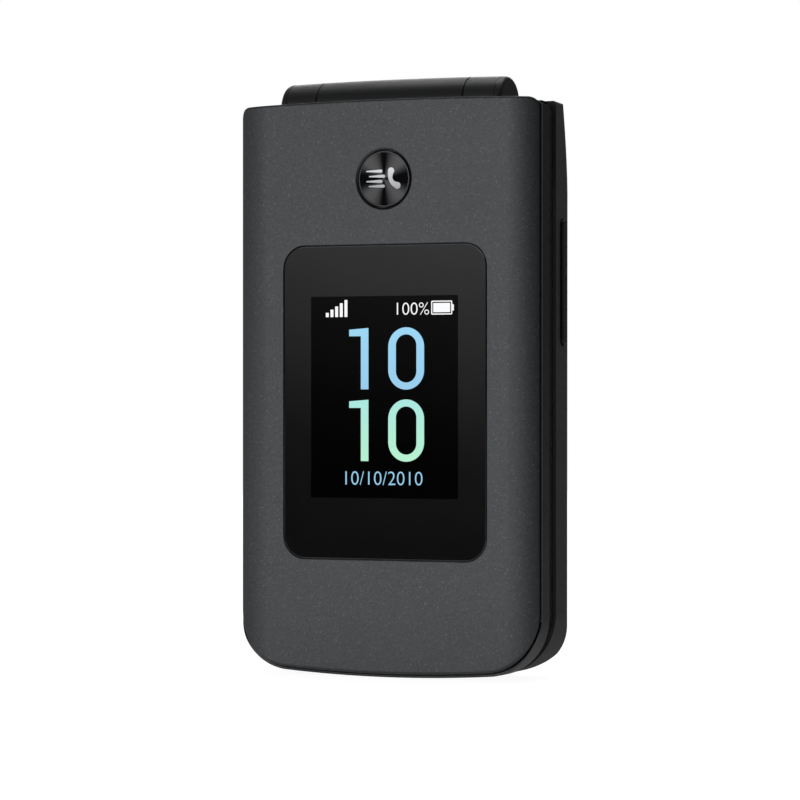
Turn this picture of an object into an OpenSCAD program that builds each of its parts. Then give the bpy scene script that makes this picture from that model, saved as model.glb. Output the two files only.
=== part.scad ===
// Flip phone, closed and standing on its foot edge: X to the right, Y to the back, Z up.
// The lid is at the front. "Depth" is the distance behind the lid's front face.

/* [Body] */
// Width of the closed phone
body_w = 57.2; // [54:0.1:62]
// Distance from the upper keys to the hinge axis
hinge_over = 12.75; // [11:0.05:16]
// Least distance from the earpiece to the wall of the hinge barrel's gap
ear_over = 4.4; // [4.2:0.1:8]
// Radius of the foot corners, seen from the front
foot_r = 10.8; // [6:0.1:14]
// Radius of the long bow of the foot edge
foot_bow = 262; // [180:1:600]
// Radius of the long bow of the head edge
head_bow = 800; // [500:10:2000]
// Radius of the head corners, seen from the front
head_r = 0.6; // [0.6:0.1:3]
// Gap between the closed lid and the base
parting_gap = 0.5; // [0.4:0.05:0.7]

/* [Lid cover] */
// Wall of the lid cover's face
cover_t = 1.2; // [1:0.05:1.6]
// Width of the crowned stretch along each side of the cover
crown_w = 6; // [4:0.1:8]
// Drop of the crowned stretch, if it ran to the full width
crown_drop = 2.6; // [2:0.1:3.2]
// Height of the cover's side lip behind its face
lip_t = 0.5; // [0.3:0.05:0.7]
// Wall of the lip at its root
lip_wall = 1.6; // [1.2:0.1:2.2]
// How far the rim below the cover stands out past its foot
rim_out = 0.7; // [0.3:0.05:1.2]
// How much narrower the cover's hollow is at the lip than the wall asks
hollow_in = 0.4; // [0.2:0.1:0.6]

/* [Lid frame] */
// Width of the groove between the cover and the frame
groove_w = 1.1; // [0.8:0.1:1.4]
// Depth of that groove, inwards
groove_in = 1.2; // [0.8:0.1:1.5]
// Side wall of the lid frame
frame_wall = 1.4; // [1.3:0.1:2]
// Wall of the frame's inner face
face_t = 1.1; // [1:0.05:1.6]
// Chamfer along the frame's outer edges
frame_chamfer = 0.3; // [0.1:0.05:0.5]
// Height of the lid's head above the hinge axis, at its front
lid_rise = 1.05; // [0.6:0.05:1.2]
// Height of the lid's head below the hinge axis, at its inner face
lid_fall = 0.2; // [0.1:0.05:0.4]

/* [Outer window and screen] */
// Width of the outer window
window_w = 38.6; // [34:0.1:42]
// Height of the outer window
window_h = 54.6; // [48:0.1:60]
// Corner radius of the outer window
window_r = 4; // [2:0.1:6]
// Thickness of the outer window
window_t = 0.75; // [0.5:0.05:0.9]
// Distance from the lid's head down to the window
window_drop = 25.3; // [24:0.1:30]
// Width of the outer screen's picture
outer_view_w = 28.03; // [24:0.01:30]
// Height of the outer screen's picture
outer_view_h = 35.04; // [30:0.01:40]
// How far the picture's middle lies above the window's middle
outer_view_rise = 0.9; // [0:0.1:3]
// Dark border of the outer screen module
outer_border = 2.3; // [1:0.1:3]
// Thickness of the outer screen module
outer_lcd_t = 1.5; // [1.2:0.05:2]

/* [Quick-call button] */
// Diameter of the button
button_d = 9.85; // [8:0.05:12]
// Distance from the lid's head down to the button's middle
button_drop = 13.9; // [12:0.1:16]
// Travel of the button
button_travel = 0.3; // [0.2:0.05:0.3]
// How far the button's face lies behind the cover's face
button_sink = 0.1; // [0:0.05:0.2]
// Width of the flange that keeps the button in
button_flange = 0.9; // [0.6:0.1:1.2]
// Thickness of that flange
button_flange_t = 0.4; // [0.3:0.05:0.5]
// Chamfer around the button's hole
button_chamfer = 0.35; // [0.2:0.05:0.5]
// Diameter of the button's plunger
plunger_d = 2.4; // [1.6:0.1:3]
// Side of the button's switch
switch_w = 4; // [3:0.1:5]

/* [Lid boards and main screen] */
// Thickness of the lid's circuit board
lid_board_t = 0.5; // [0.4:0.05:0.8]
// Space between the outer screen and that board
lid_board_gap = 0.2; // [0.1:0.05:0.4]
// Foot of the lid's circuit board, above the foot edge
lid_board_foot = 22; // [18:0.5:30]
// Width of the main screen's picture
main_view_w = 43.2; // [36:0.1:44]
// Height of the main screen's picture
main_view_h = 57.6; // [48:0.1:60]
// Foot of the main screen's picture, above the foot edge
main_view_foot = 19; // [17:0.5:22]
// Dark border at the main screen's sides and head
main_border = 1.7; // [1:0.1:2.5]
// Dark border at the main screen's foot, where its driver lies
main_border_foot = 6; // [4:0.1:7]
// Corner radius of the opening over the main screen's picture
view_r = 0.6; // [0.3:0.1:2]
// Thickness of the main screen module
main_lcd_t = 1.5; // [1.3:0.05:2]
// Thickness of the main screen's lens
lens_t = 0.7; // [0.5:0.05:0.8]
// Margin of the lens around the picture
lens_margin = 3.6; // [2.6:0.1:4]
// Corner radius of the lens
lens_r = 2.5; // [1:0.1:4]

/* [Earpiece] */
// Length of the earpiece's slot
ear_slot_w = 10; // [7:0.1:12]
// Height of the earpiece's slot
ear_slot_h = 1.6; // [1:0.1:2]
// Distance from the lens up to the slot's middle
ear_rise = 4.6; // [3.5:0.1:5]
// Length of the earpiece
ear_w = 13; // [10:0.5:15]
// Height of the earpiece
ear_h = 6; // [5:0.1:6.4]
// Thickness of the earpiece
ear_t = 1.5; // [1.2:0.1:1.7]

/* [Hinge] */
// Radius of the hinge barrel at its middle
barrel_r = 4.9; // [4.7:0.05:5.4]
// Half the length of the barrel
barrel_half = 21.05; // [19:0.05:23]
// Rounding of the barrel's ends
barrel_round = 1.1; // [0.6:0.1:1.6]
// Half the length of the middle knuckle
knuckle_half = 14; // [13.5:0.1:15]
// Gap between knuckles
knuckle_gap = 0.2; // [0.15:0.05:0.3]
// Radius of the barrel's long bow
barrel_bow = 800; // [500:10:2000]
// Gap around the barrel
barrel_gap = 0.25; // [0.2:0.05:0.35]
// Wall around that gap
barrel_wall = 1; // [0.8:0.1:1.4]
// Outer radius of the hinge cartridge
cartridge_r = 3.5; // [3.3:0.05:3.6]
// Wall of the hinge cartridge
cartridge_wall = 0.5; // [0.4:0.05:0.6]
// Length of the hinge cartridge
cartridge_len = 15; // [14:0.1:16]
// How far the notch for the barrel reaches down from the lid's head
barrel_notch = 3.2; // [2.6:0.1:3.6]
// Radius of the cam shaft
shaft_r = 1.2; // [1:0.05:1.3]
// Side of the cam shaft's square head
shaft_square = 4.2; // [3.6:0.1:4.6]
// How far the cam shaft ends inside the spring's end
shaft_short = 2; // [1:0.1:3]
// Length of each cam
cam_len = 2.8; // [2:0.1:3]
// Radius of the cam spring's coil, to the wire's middle
coil_r = 2.2; // [2:0.05:2.3]
// Radius of the spring's wire
wire_r = 0.4; // [0.3:0.05:0.45]
// Turns of the spring
coil_turns = 6; // [4:1:7]
// Outer radius of the hollow pin
pin_r = 2.2; // [1.8:0.05:2.4]
// Bore radius of the hollow pin
pin_bore_r = 1.6; // [1.2:0.05:1.7]
// Length of the pin's bushing
bushing_len = 3.6; // [3:0.1:4.5]
// Width of the flex cable
flex_w = 6; // [4:0.1:6.5]
// Thickness of the flex cable
flex_t = 0.2; // [0.15:0.05:0.25]
// Length of the flex cable's tail on the lid's board
flex_tail = 4; // [3:0.5:8]

/* [Base] */
// Side wall of the base's front housing
base_wall = 1.2; // [1:0.05:1.6]
// Wall of the base's keypad face
key_face_t = 1.3; // [1.1:0.05:1.6]
// How far the parting band lies in from the sides
band_in = 0.65; // [0.4:0.05:0.9]
// Depth of the base's front housing
front_housing_t = 2.55; // [2.5:0.05:3]
// Side and back wall of the rear housing
shell_t = 1.5; // [1.4:0.05:1.8]
// Rounding of the rear edges
rear_r = 5; // [4:0.1:5.2]
// Rounding of the base's head edge
head_edge_r = 1.2; // [0.8:0.1:1.6]
// How far the back leans in at the head
taper_in = 2.4; // [1:0.1:2.4]
// Height of the stretch that leans in
taper_h = 14.5; // [14:0.5:20]
// Head of the rear housing, above the hinge axis
rear_rise = 0.45; // [0.2:0.05:0.5]
// Head of the front housing, below the hinge axis
front_fall = 0.15; // [0.1:0.05:0.3]

/* [Keypad] */
// Margin beside the number keys
key_side = 3.2; // [3:0.1:4]
// Gap between columns of keys
key_gap_x = 1.6; // [1.4:0.1:2.2]
// Gap between rows of keys
key_gap_z = 1.8; // [1.4:0.1:2.2]
// Height of a number key
key_h = 10.4; // [9:0.1:10.8]
// Foot of the lowest row, above the foot edge
key_foot = 10.3; // [10:0.1:11]
// Corner radius of a number key
key_r = 2.2; // [1:0.1:3]
// Plain belt between the number keys and the upper keys
belt_h = 5.4; // [5:0.1:6]
// Gap between the navigation ring and the keys beside it
nav_gap = 1.75; // [1.4:0.05:2.4]
// Gap between the call key and the soft key above it
side_key_gap = 3; // [2:0.1:4]
// Outer radius of the navigation ring
nav_r = 10.8; // [9:0.1:11.2]
// Inner radius of the navigation ring
nav_bore_r = 5.2; // [4:0.1:6]
// Travel of every key
key_travel = 0.35; // [0.25:0.05:0.35]
// How far the keys lie behind the lid-side face
key_sink = 0.1; // [0:0.05:0.2]
// Width of the flange that keeps a key in
key_flange = 0.35; // [0.25:0.05:0.4]
// Thickness of that flange
key_flange_t = 0.2; // [0.15:0.05:0.3]
// Gap around each key
key_clear = 0.15; // [0.1:0.01:0.2]
// Thickness of the rubber key mat
mat_t = 0.25; // [0.2:0.05:0.4]
// Thickness of the dome sheet
dome_sheet_t = 0.1; // [0.05:0.01:0.15]
// Height of a switch dome
dome_h = 0.08; // [0.05:0.01:0.12]
// Diameter of a switch dome
dome_d = 4; // [3:0.1:5]

/* [Main board] */
// Thickness of the main board
board_t = 0.8; // [0.6:0.05:1]
// Height of the shield cans
shield_h = 1.5; // [1.2:0.05:1.8]
// Sheet of the shield cans
shield_sheet = 0.2; // [0.15:0.05:0.3]
// Width of the lower shield can
shield_w = 30; // [24:0.5:34]
// Height of the lower shield can, along the board
shield_l = 20; // [14:0.5:22]
// Width of the upper shield can
radio_w = 17; // [14:0.5:17.5]
// Distance of the upper shield can from the middle line
radio_x = 9; // [8:0.5:11]
// Gap between the cans and what lies below them
can_gap = 3; // [2:0.5:4]
// Width of the SIM holder
sim_w = 15; // [13:0.5:17]
// Height of the SIM holder
sim_h = 13; // [10:0.5:14]
// Thickness of the SIM holder
sim_t = 1.3; // [1:0.1:1.4]
// Distance of the SIM holder from the middle line
sim_x = 9; // [8:0.5:11]
// Width of the microphone
mic_w = 4; // [3:0.1:5]
// Height of the microphone
mic_h = 3; // [2.5:0.1:3.4]
// Thickness of the microphone
mic_t = 1; // [0.8:0.05:1.05]
// Radius of the microphone's hole
mic_hole_r = 0.5; // [0.3:0.05:0.7]

/* [Battery] */
// Distance from the phone's sides to the battery
battery_side = 8.1; // [7.8:0.1:10]
// Height of the battery
battery_h = 52; // [46:0.1:53]
// Thickness of the battery
battery_t = 4.6; // [4:0.1:6]
// Foot of the battery, above the foot edge
battery_foot = 12; // [11:0.1:13]
// Gap around the battery
battery_gap = 0.3; // [0.2:0.05:0.4]
// Floor of the battery's bay
bay_floor_t = 0.6; // [0.5:0.05:0.9]
// Wall around the battery's bay
bay_wall = 1.2; // [1:0.1:1.5]
// Wall of the battery cover
back_cover_t = 1.2; // [1:0.05:1.5]
// Margin from the phone's sides to the battery cover
back_cover_side = 2.6; // [2.4:0.1:3.4]
// Foot of the battery cover, above the foot edge
back_cover_foot = 3.4; // [3:0.1:4]
// Plain back between the battery's head and the cover's head
back_cover_over = 4.6; // [4:0.1:5]
// Corner radius of the battery cover
back_cover_r = 7; // [4:0.1:8]
// Width of the battery's contact block
contact_w = 9; // [7:0.5:12]
// Thickness of that block
contact_t = 2.2; // [1.6:0.1:3]
// How far the block lies behind the battery's front face
contact_in = 1; // [0.6:0.1:1.4]
// How far the block stands behind the bay's head wall
contact_behind = 1.2; // [0.8:0.1:2]
// Width of a contact pin
contact_pin_w = 0.8; // [0.5:0.1:1.2]
// Pull-off travel of the battery cover
back_cover_travel = 25; // [20:1:40]

/* [Volume rocker] */
// Length of the rocker
rocker_l = 21.6; // [18:0.1:24]
// Width of the rocker
rocker_w = 2.2; // [1.8:0.1:2.4]
// How far the rocker stands out of the side
rocker_out = 0.5; // [0.3:0.05:0.7]
// Distance from the base's upper screws up to the rocker's middle
rocker_over = 8.4; // [8:0.1:10]
// Depth of the rocker's middle line behind the rear housing's front edge
rocker_in = 2.6; // [2.4:0.1:2.8]
// Flange that keeps the rocker in, past its ends
rocker_flange = 1.1; // [0.8:0.1:1.4]
// Thickness of that flange
rocker_flange_t = 0.5; // [0.4:0.05:0.6]
// Space between the rocker's flange and the side wall
rocker_room = 0.55; // [0.5:0.05:0.7]
// Half the distance between the two side switches
side_switch_half = 4.1; // [3.5:0.1:4.2]
// Stroke of a side switch
side_stroke = 0.2; // [0.15:0.05:0.25]
// Length of a side switch
side_switch_l = 3; // [2.6:0.1:3.2]
// Height of a side switch over its board
side_switch_h = 0.7; // [0.5:0.1:0.8]
// Thickness of the side switches' board
side_board_t = 0.6; // [0.4:0.1:0.8]
// Thickness of the rib behind that board
side_rib_t = 1.2; // [0.8:0.1:1.4]
// Width of the rocker's nub over a side switch
nub_w = 1; // [0.8:0.1:1.4]
// Space behind the rocker's flange for its swing
rocker_swing = 0.45; // [0.4:0.05:0.5]
// How far the space beside the battery's bay reaches below the rocker
channel_over = 0.5; // [0.3:0.1:1]

/* [Sockets] */
// Radius of the headphone jack's bore
jack_r = 1.75; // [1.25:0.05:1.75]
// Length of the headphone jack
jack_len = 14; // [12:0.5:15]
// Wall of the headphone jack
jack_wall = 0.85; // [0.7:0.05:1]
// Wall behind the jack's bore
jack_end = 1; // [0.6:0.1:1.6]
// Wall of the jack's rim, where it shows in the side
jack_rim = 0.6; // [0.4:0.05:0.7]
// How far that rim lies behind the side
jack_sink = 0.6; // [0.5:0.05:0.8]
// Distance from the camera up to the headphone jack
jack_over = 10.2; // [9:0.1:10.6]
// Width of the USB socket's mouth, along the side
usb_w = 7.5; // [7:0.1:9]
// Thickness of the USB socket
usb_t = 2.6; // [2.4:0.1:3.2]
// Length of the USB socket
usb_l = 5; // [4:0.1:5.2]
// Distance from the camera down to the USB socket's middle
usb_under = 3.2; // [1.5:0.1:4]

/* [Camera and sound] */
// Distance from the battery cover's head up to the camera's middle
camera_over = 7.6; // [7:0.1:9]
// Distance of the camera from the middle line
camera_x = 12; // [9:0.5:14]
// Diameter of the camera's cover lens
camera_lens_d = 7.4; // [6:0.1:8]
// Ledge under the camera's cover lens
camera_ledge = 1; // [0.6:0.1:1.4]
// Side of the camera module
camera_w = 8.4; // [7:0.1:9]
// Thickness of the camera module
camera_t = 4.6; // [4:0.1:5.2]
// Distance of the flash from the camera
flash_off = 7.4; // [7:0.1:8]
// Diameter of the flash lens
flash_d = 3; // [2:0.1:3.4]
// Width of the loudspeaker
speaker_w = 15; // [12:0.1:16]
// Height of the loudspeaker
speaker_h = 10; // [8:0.1:10]
// Thickness of the loudspeaker
speaker_t = 3; // [2.5:0.1:4]
// Least distance from the loudspeaker up to where the back starts to lean in
speaker_over = 1.4; // [1:0.1:3]
// Distance of the loudspeaker from the middle line
speaker_x = 13; // [12:0.1:13.5]
// Number of sound slots over the loudspeaker
slot_n = 4; // [2:1:4]
// Width of a sound slot
slot_w = 1; // [0.8:0.1:1.2]
// Length of a sound slot
slot_l = 10; // [8:0.1:11]
// Distance between sound slots
slot_pitch = 2; // [1.8:0.1:2.2]
// How far the mesh reaches past the slots
mesh_over = 0.5; // [0.3:0.1:1]
// Diameter of the vibration motor
motor_d = 4; // [3.5:0.1:4.4]
// Length of the vibration motor
motor_l = 8; // [6:0.1:9]

/* [Screws] */
// Diameter of a screw's shank
screw_d = 1.4; // [1.2:0.05:1.6]
// Diameter of a screw's head
screw_head_d = 2.8; // [2.4:0.1:3]
// Thickness of a screw's head
screw_head_t = 0.7; // [0.5:0.05:0.8]
// Wall of a screw boss
boss_wall = 1; // [0.8:0.05:1.1]
// Distance of the lid's screws from the sides
lid_screw_in = 5.4; // [5.2:0.1:5.8]
// Height of the lid's lower screws above the foot edge
lid_screw_foot = 8.5; // [8.2:0.1:8.8]
// Distance from the lid's head down to its upper screws
lid_screw_drop = 9; // [8:0.1:10]
// Distance of the base's lower screws from the middle line
foot_screw_x = 15; // [13:0.1:16]
// Height of the base's lower screws above the foot edge
foot_screw_z = 6.2; // [6:0.1:6.4]
// Distance of the base's upper screws from the sides
belt_screw_in = 5.1; // [5:0.05:5.2]
// How deep the base's screw heads lie under the battery cover
screw_sink = 0.6; // [0.4:0.1:1]
// How far the lid's rubber bumpers stand out of its face
bumper_out = 0.35; // [0.2:0.05:0.35]

/* [Fits] */
// Gap between parts that lie in one another
fit = 0.1; // [0.05:0.01:0.15]
// Running clearance of shafts and pins, on the radius
run = 0.05; // [0.03:0.01:0.08]
// Air between layers of the stack
air = 0.1; // [0.05:0.01:0.15]
// Side gap of buttons that move
button_clear = 0.12; // [0.1:0.01:0.2]

/* [Hidden] */

$fn = 64;
fine_fn = 720;
cut = 0.01;
// How far a cut reaches past what it cuts
over = 1;

// Layers, as depths behind the lid's front face
outer_lcd_d = cover_t + air;
lid_board_d = outer_lcd_d + outer_lcd_t + lid_board_gap;
main_lcd_d = lid_board_d + lid_board_t + air;
lid_face_d = main_lcd_d + main_lcd_t + air / 2;
lid_t = lid_face_d + face_t;
lip_d = cover_t + lip_t;
ring_d = lip_d + groove_w;
axis_d = lid_t + parting_gap / 2;
base_d = lid_t + parting_gap;
key_back_d = base_d + key_face_t + air / 2;
mat_d = key_back_d + key_flange_t + key_travel + air / 2;
dome_d0 = mat_d + mat_t + air / 4;
board_d = dome_d0 + dome_h + dome_sheet_t;
rear_d = base_d + front_housing_t;
shield_d = board_d + board_t;
bay_floor_d = shield_d + shield_h + air;
battery_d = bay_floor_d + bay_floor_t + air;
back_cover_d = battery_d + battery_t + air;
body_t = back_cover_d + back_cover_t;

// Heights. The keys, the lid's screen or the battery set the hinge's height, whichever reaches highest
number_top = key_foot + 4 * key_h + 3 * key_gap_z;
call_z = number_top + belt_h + key_h / 2;
soft_z = call_z + key_h + side_key_gap;
main_view_z = main_view_foot + main_view_h / 2;
lens_head = main_view_foot + main_view_h + lens_margin;
ear_z = lens_head + ear_rise;
bay_top = battery_foot + battery_h + battery_gap;
back_cover_top = battery_foot + battery_h + back_cover_over;
camera_z = back_cover_top + camera_over;
jack_z = camera_z + jack_over;
usb_z = camera_z - usb_under;
barrel_room = barrel_r + barrel_gap + barrel_wall;
axis_z = max(soft_z + key_h / 2 + hinge_over, ear_z + ear_h / 2 + ear_over + barrel_room,
  camera_z + speaker_h / 2 + speaker_over + taper_h - rear_rise);
body_h = axis_z + barrel_r;
barrel_foot = axis_z - barrel_room;
lid_top = axis_z + lid_rise;
window_z = lid_top - window_drop - window_h / 2;
outer_view_z = window_z + outer_view_rise;
button_z = lid_top - button_drop;
board_head = barrel_foot - air;
lid_screw_top = lid_top - lid_screw_drop;
base_top = axis_z + rear_rise;

// Keypad
base_half = body_w / 2 - band_in;
key_w = (2 * (base_half - key_side) - 2 * key_gap_x) / 3;
key_pitch_x = key_w + key_gap_x;
key_pitch_z = key_h + key_gap_z;
nav_z = (call_z + soft_z) / 2;
side_key_w = base_half - key_side - nav_r - nav_gap;
side_key_x = base_half - key_side - side_key_w / 2;
belt_screw_z = number_top + belt_h / 2;
key_names = ["key_star", "key_0", "key_hash", "key_7", "key_8", "key_9", "key_4", "key_5", "key_6",
  "key_1", "key_2", "key_3"];

// Screws
lid_screw_x = body_w / 2 - lid_screw_in;
belt_screw_x = body_w / 2 - belt_screw_in;
pilot_r = screw_d / 2 + run;
hole_r = screw_d / 2 + fit;
boss_r = pilot_r + boss_wall;
head_hole_r = screw_head_d / 2 + fit;

function y_of(depth) = depth - body_t / 2;
function arc_pts(cx, cy, r, from, to, steps) =
  [for (i = [0:steps]) let(a = from + (to - from) * i / steps) [cx + r * cos(a), cy + r * sin(a)]];

// Draws an outline in X and Z, solid between two depths
module between(d0, d1) {
  translate([0, y_of(d1), 0]) rotate([90, 0, 0]) linear_extrude(d1 - d0) children();
}

// Draws a profile in depth and Z, solid along X
module along_x(x0, x1) {
  translate([x0, 0, 0]) rotate([90, 0, 90]) linear_extrude(x1 - x0) translate([-body_t / 2, 0]) children();
}

// Draws a profile in X and depth, solid along Z
module along_z(z0, z1) {
  translate([0, 0, z0]) linear_extrude(z1 - z0) translate([0, -body_t / 2]) children();
}

// Turns a solid that stands on the origin onto the hinge axis, from x0 towards +X
module on_axis(x0) {
  translate([x0, y_of(axis_d), axis_z]) rotate([0, 90, 0]) children();
}

module rod(x0, x1, r) {
  on_axis(x0) cylinder(h = x1 - x0, r = r);
}

module pair() {
  children();
  mirror([1, 0, 0]) children();
}

module rounded(w, h, r) {
  translate([-w / 2 + r, -h / 2]) square([w - 2 * r, h]);
  translate([-w / 2, -h / 2 + r]) square([w, h - 2 * r]);
  for (x = [-1, 1], z = [-1, 1]) translate([x * (w / 2 - r), z * (h / 2 - r)]) circle(r);
}

// The corner between a straight side and a long bow: what lies outside its rounding
module corner_waste(half, bow_z, bow_r, r, up) {
  cx = half - r;
  cz = bow_z + up * sqrt(pow(bow_r - r, 2) - cx * cx);
  reach = (bow_r + 2 * r) / (bow_r - r);
  difference() {
    polygon([[cx, cz], [half + r, cz], [half + r, cz + up * 3 * r],
      [cx * reach, bow_z + (cz - bow_z) * reach]]);
    translate([cx, cz]) circle(r);
  }
}

// Front outline of the phone: straight sides, bowed foot and head, rounded corners
module outline(inset, head, foot_inset = 0) {
  half = body_w / 2 - inset;
  head_z = head - head_bow;
  foot_in = inset + foot_inset;
  difference() {
    intersection() {
      translate([-half, 0]) square([2 * half, head]);
      translate([0, foot_bow]) circle(foot_bow - foot_in, $fn = fine_fn);
      translate([0, head_z]) circle(head_bow, $fn = fine_fn);
    }
    pair_2d() corner_waste(half, foot_bow, foot_bow - foot_in, foot_r - inset, -1);
    pair_2d() corner_waste(half, head_z, head_bow, head_r, 1);
  }
}

module pair_2d() {
  children();
  mirror([1, 0]) children();
}

// Everything above the lid's sloping head
module head_waste(lift = 0) {
  slope = (lid_rise + lid_fall) / lid_t;
  along_x(-body_w, body_w)
    polygon([[-lid_t, lid_top + lift + slope * lid_t], [2 * lid_t, lid_top + lift - 2 * slope * lid_t],
      [2 * lid_t, 2 * body_h], [-lid_t, 2 * body_h]]);
}

// The space that the barrel's outer knuckles need in the lid
module lid_knuckle_room() {
  pair() rod(knuckle_half - knuckle_gap / 2 - cut, barrel_half + barrel_gap, barrel_r + barrel_gap);
}

function bowed_r(x) = barrel_r - x * x / (2 * barrel_bow);

// One knuckle between x0 and x1; its far end is rounded when round is above 0
module knuckle(x0, x1, round = 0) {
  steps = 8;
  end_r = bowed_r(x1 - round);
  side = [for (i = [0:steps]) let(x = x0 + (x1 - round - x0) * i / steps) [bowed_r(x), x]];
  corner = round > 0 ? arc_pts(end_r - round, x1 - round, round, 90 / steps, 90, steps - 1) : [];
  on_axis(0) rotate_extrude() polygon(concat([[0, x0]], side, corner, [[0, x1]]));
}

/* ---- Lid ---- */

function crown(half) = arc_pts_ellipse(half - crown_w, crown_drop, crown_w, crown_drop);
function arc_pts_ellipse(cx, cd, a, b) =
  let(start = asin((b - lip_d) / b), steps = 10)
  [for (i = [0:steps]) let(t = start + (90 - start) * i / steps) [cx + a * cos(t), cd - b * sin(t)]];

module crown_profile() {
  right = crown(body_w / 2);
  left = [for (i = [len(right) - 1:-1:0]) [-right[i][0], right[i][1]]];
  polygon(concat(right, left));
}

module cover_hollow_profile() {
  half = body_w / 2;
  foot_x = half - lip_wall - hollow_in;
  root_x = half - crown_w + lip_wall / 2;
  polygon([[-foot_x, lip_d + cut], [-root_x, cover_t], [root_x, cover_t], [foot_x, lip_d + cut]]);
}

module lid_screw_places() {
  for (x = [-1, 1], z = [lid_screw_foot, lid_screw_top]) translate([x * lid_screw_x, z]) children();
}

module lid_cover() color("#4d4e50") difference() {
  union() {
    difference() {
      intersection() {
        along_z(0, 2 * body_h) crown_profile();
        between(-cut, lip_d) outline(0, lid_top, rim_out);
      }
      intersection() {
        along_z(rim_out + lip_wall, lid_top - lip_wall) cover_hollow_profile();
        between(cover_t, lip_d + cut) outline(lip_wall, lid_top - lip_wall, rim_out);
      }
      between(cover_t, lip_d + cut) translate([0, lid_top])
        square([2 * (barrel_half + barrel_gap), 2 * barrel_notch], center = true);
    }
    between(cover_t - cut, lid_board_d) lid_screw_places() circle(boss_r);
  }
  head_waste(2 * cut);
  between(-cut, window_t) translate([0, window_z])
    rounded(window_w + 2 * fit, window_h + 2 * fit, window_r + fit);
  between(0, cover_t + cut) translate([0, outer_view_z])
    square([outer_view_w + outer_border, outer_view_h + outer_border], center = true);
  translate([0, y_of(0), button_z]) rotate([-90, 0, 0]) {
    translate([0, 0, -cut]) cylinder(h = cover_t + over, r = button_d / 2 + button_clear);
    translate([0, 0, -cut]) cylinder(h = button_chamfer + cut, r2 = button_d / 2 + button_clear,
      r1 = button_d / 2 + button_clear + button_chamfer);
  }
  between(cover_t, 2 * lid_board_d) lid_screw_places() circle(pilot_r);
}

module outer_window() color("#141516") between(0, window_t) translate([0, window_z])
  rounded(window_w, window_h, window_r);

module outer_display() color("#0b0c0d") between(outer_lcd_d, outer_lcd_d + outer_lcd_t)
  translate([0, outer_view_z])
  square([outer_view_w + 2 * outer_border, outer_view_h + 2 * outer_border], center = true);

plunger_d0 = cover_t + air + button_flange_t;
switch_d = plunger_d0 + button_travel + air;

module quick_call_button() color("#202122") translate([0, 0, button_z]) {
  face_d = button_sink;
  translate([0, y_of(face_d), 0]) rotate([-90, 0, 0])
    cylinder(h = cover_t + air - face_d + cut, r = button_d / 2);
  translate([0, y_of(cover_t + air), 0]) rotate([-90, 0, 0])
    cylinder(h = button_flange_t, r = button_d / 2 + button_flange);
}

module button_switch() color("silver") translate([0, 0, button_z]) {
  translate([-switch_w / 2, y_of(switch_d + air), -switch_w / 2])
    cube([switch_w, lid_board_d - switch_d - air, switch_w]);
  translate([0, y_of(switch_d), 0]) rotate([-90, 0, 0]) cylinder(h = air + cut, r = plunger_d / 2);
}

module lid_board() color("#1d4a33") difference() {
  between(lid_board_d, lid_board_d + lid_board_t) difference() {
    intersection() {
      outline(groove_in + frame_wall + fit, lid_top);
      translate([-body_w / 2, lid_board_foot]) square([body_w, board_head - lid_board_foot]);
    }
    lid_screw_places() circle(boss_r + fit);
  }
}

module lid_frame() color("#2b2c2d") difference() {
  union() {
    difference() {
      union() {
        frame_ring(ring_d, lid_t);
        between(lip_d, ring_d + cut) outline(groove_in, lid_top - groove_in);
      }
      difference() {
        between(lip_d - cut, lid_face_d) outline(groove_in + frame_wall, lid_top - groove_in - frame_wall);
        rod(-barrel_half - barrel_gap - barrel_wall, barrel_half + barrel_gap + barrel_wall,
          barrel_room);
        between(lid_board_d + lid_board_t, lid_t) lid_screw_places() circle(head_hole_r + boss_wall);
      }
      lid_knuckle_room();
      head_waste();
      between(0, ring_d) translate([0, lid_top])
        square([2 * (barrel_half + barrel_gap), 2 * barrel_notch], center = true);
    }
    knuckle(-knuckle_half + knuckle_gap / 2, knuckle_half - knuckle_gap / 2);
  }
  rod(-knuckle_half, knuckle_half, cartridge_r + fit);
  between(lid_face_d, lid_t + cut) translate([0, main_view_z]) rounded(main_view_w, main_view_h, view_r);
  between(lid_t - lens_t, lid_t + cut) translate([0, main_view_z]) lens_outline(fit);
  between(lid_face_d - cut, lid_t + cut) translate([0, ear_z])
    rounded(ear_slot_w, ear_slot_h, ear_slot_h / 2 - cut);
  between(lid_board_d, lid_t + cut) lid_screw_places() circle(hole_r);
  between(lid_t - screw_head_t - air, lid_t + cut) lid_screw_places() circle(head_hole_r);
  flex_slot();
}

// Ring of the lid frame, chamfered along its two outer edges
module frame_ring(d0, d1) {
  between(d0 + frame_chamfer, d1 - frame_chamfer) outline(0, lid_top);
  between(d0, d1) outline(frame_chamfer, lid_top);
}

module lens_outline(grow) {
  rounded(main_view_w + 2 * (lens_margin + grow), main_view_h + 2 * (lens_margin + grow), lens_r + grow);
}

module main_lens() color("#101112") between(lid_t - lens_t, lid_t) translate([0, main_view_z]) lens_outline(0);

module main_display() color("#0b0c0d") between(main_lcd_d, main_lcd_d + main_lcd_t)
  translate([-main_view_w / 2 - main_border, main_view_foot - main_border_foot])
  square([main_view_w + 2 * main_border, main_view_h + main_border + main_border_foot]);

module earpiece() color("#3a3a3a") between(lid_face_d - air / 2 - ear_t, lid_face_d - air / 2)
  translate([0, ear_z]) square([ear_w, ear_h], center = true);

module earpiece_mesh() color("#18191a") between(lid_t - face_t / 2, lid_t - face_t / 4) translate([0, ear_z])
  rounded(ear_slot_w - 2 * fit, ear_slot_h - 2 * fit, ear_slot_h / 2 - 2 * fit);

module lid_screws() color("#8c8d90") {
  seat_d = lid_t - screw_head_t - air;
  between(seat_d, seat_d + screw_head_t) lid_screw_places() circle(screw_head_d / 2);
  between(cover_t + 2 * air, seat_d + cut) lid_screw_places() circle(screw_d / 2);
}

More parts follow.
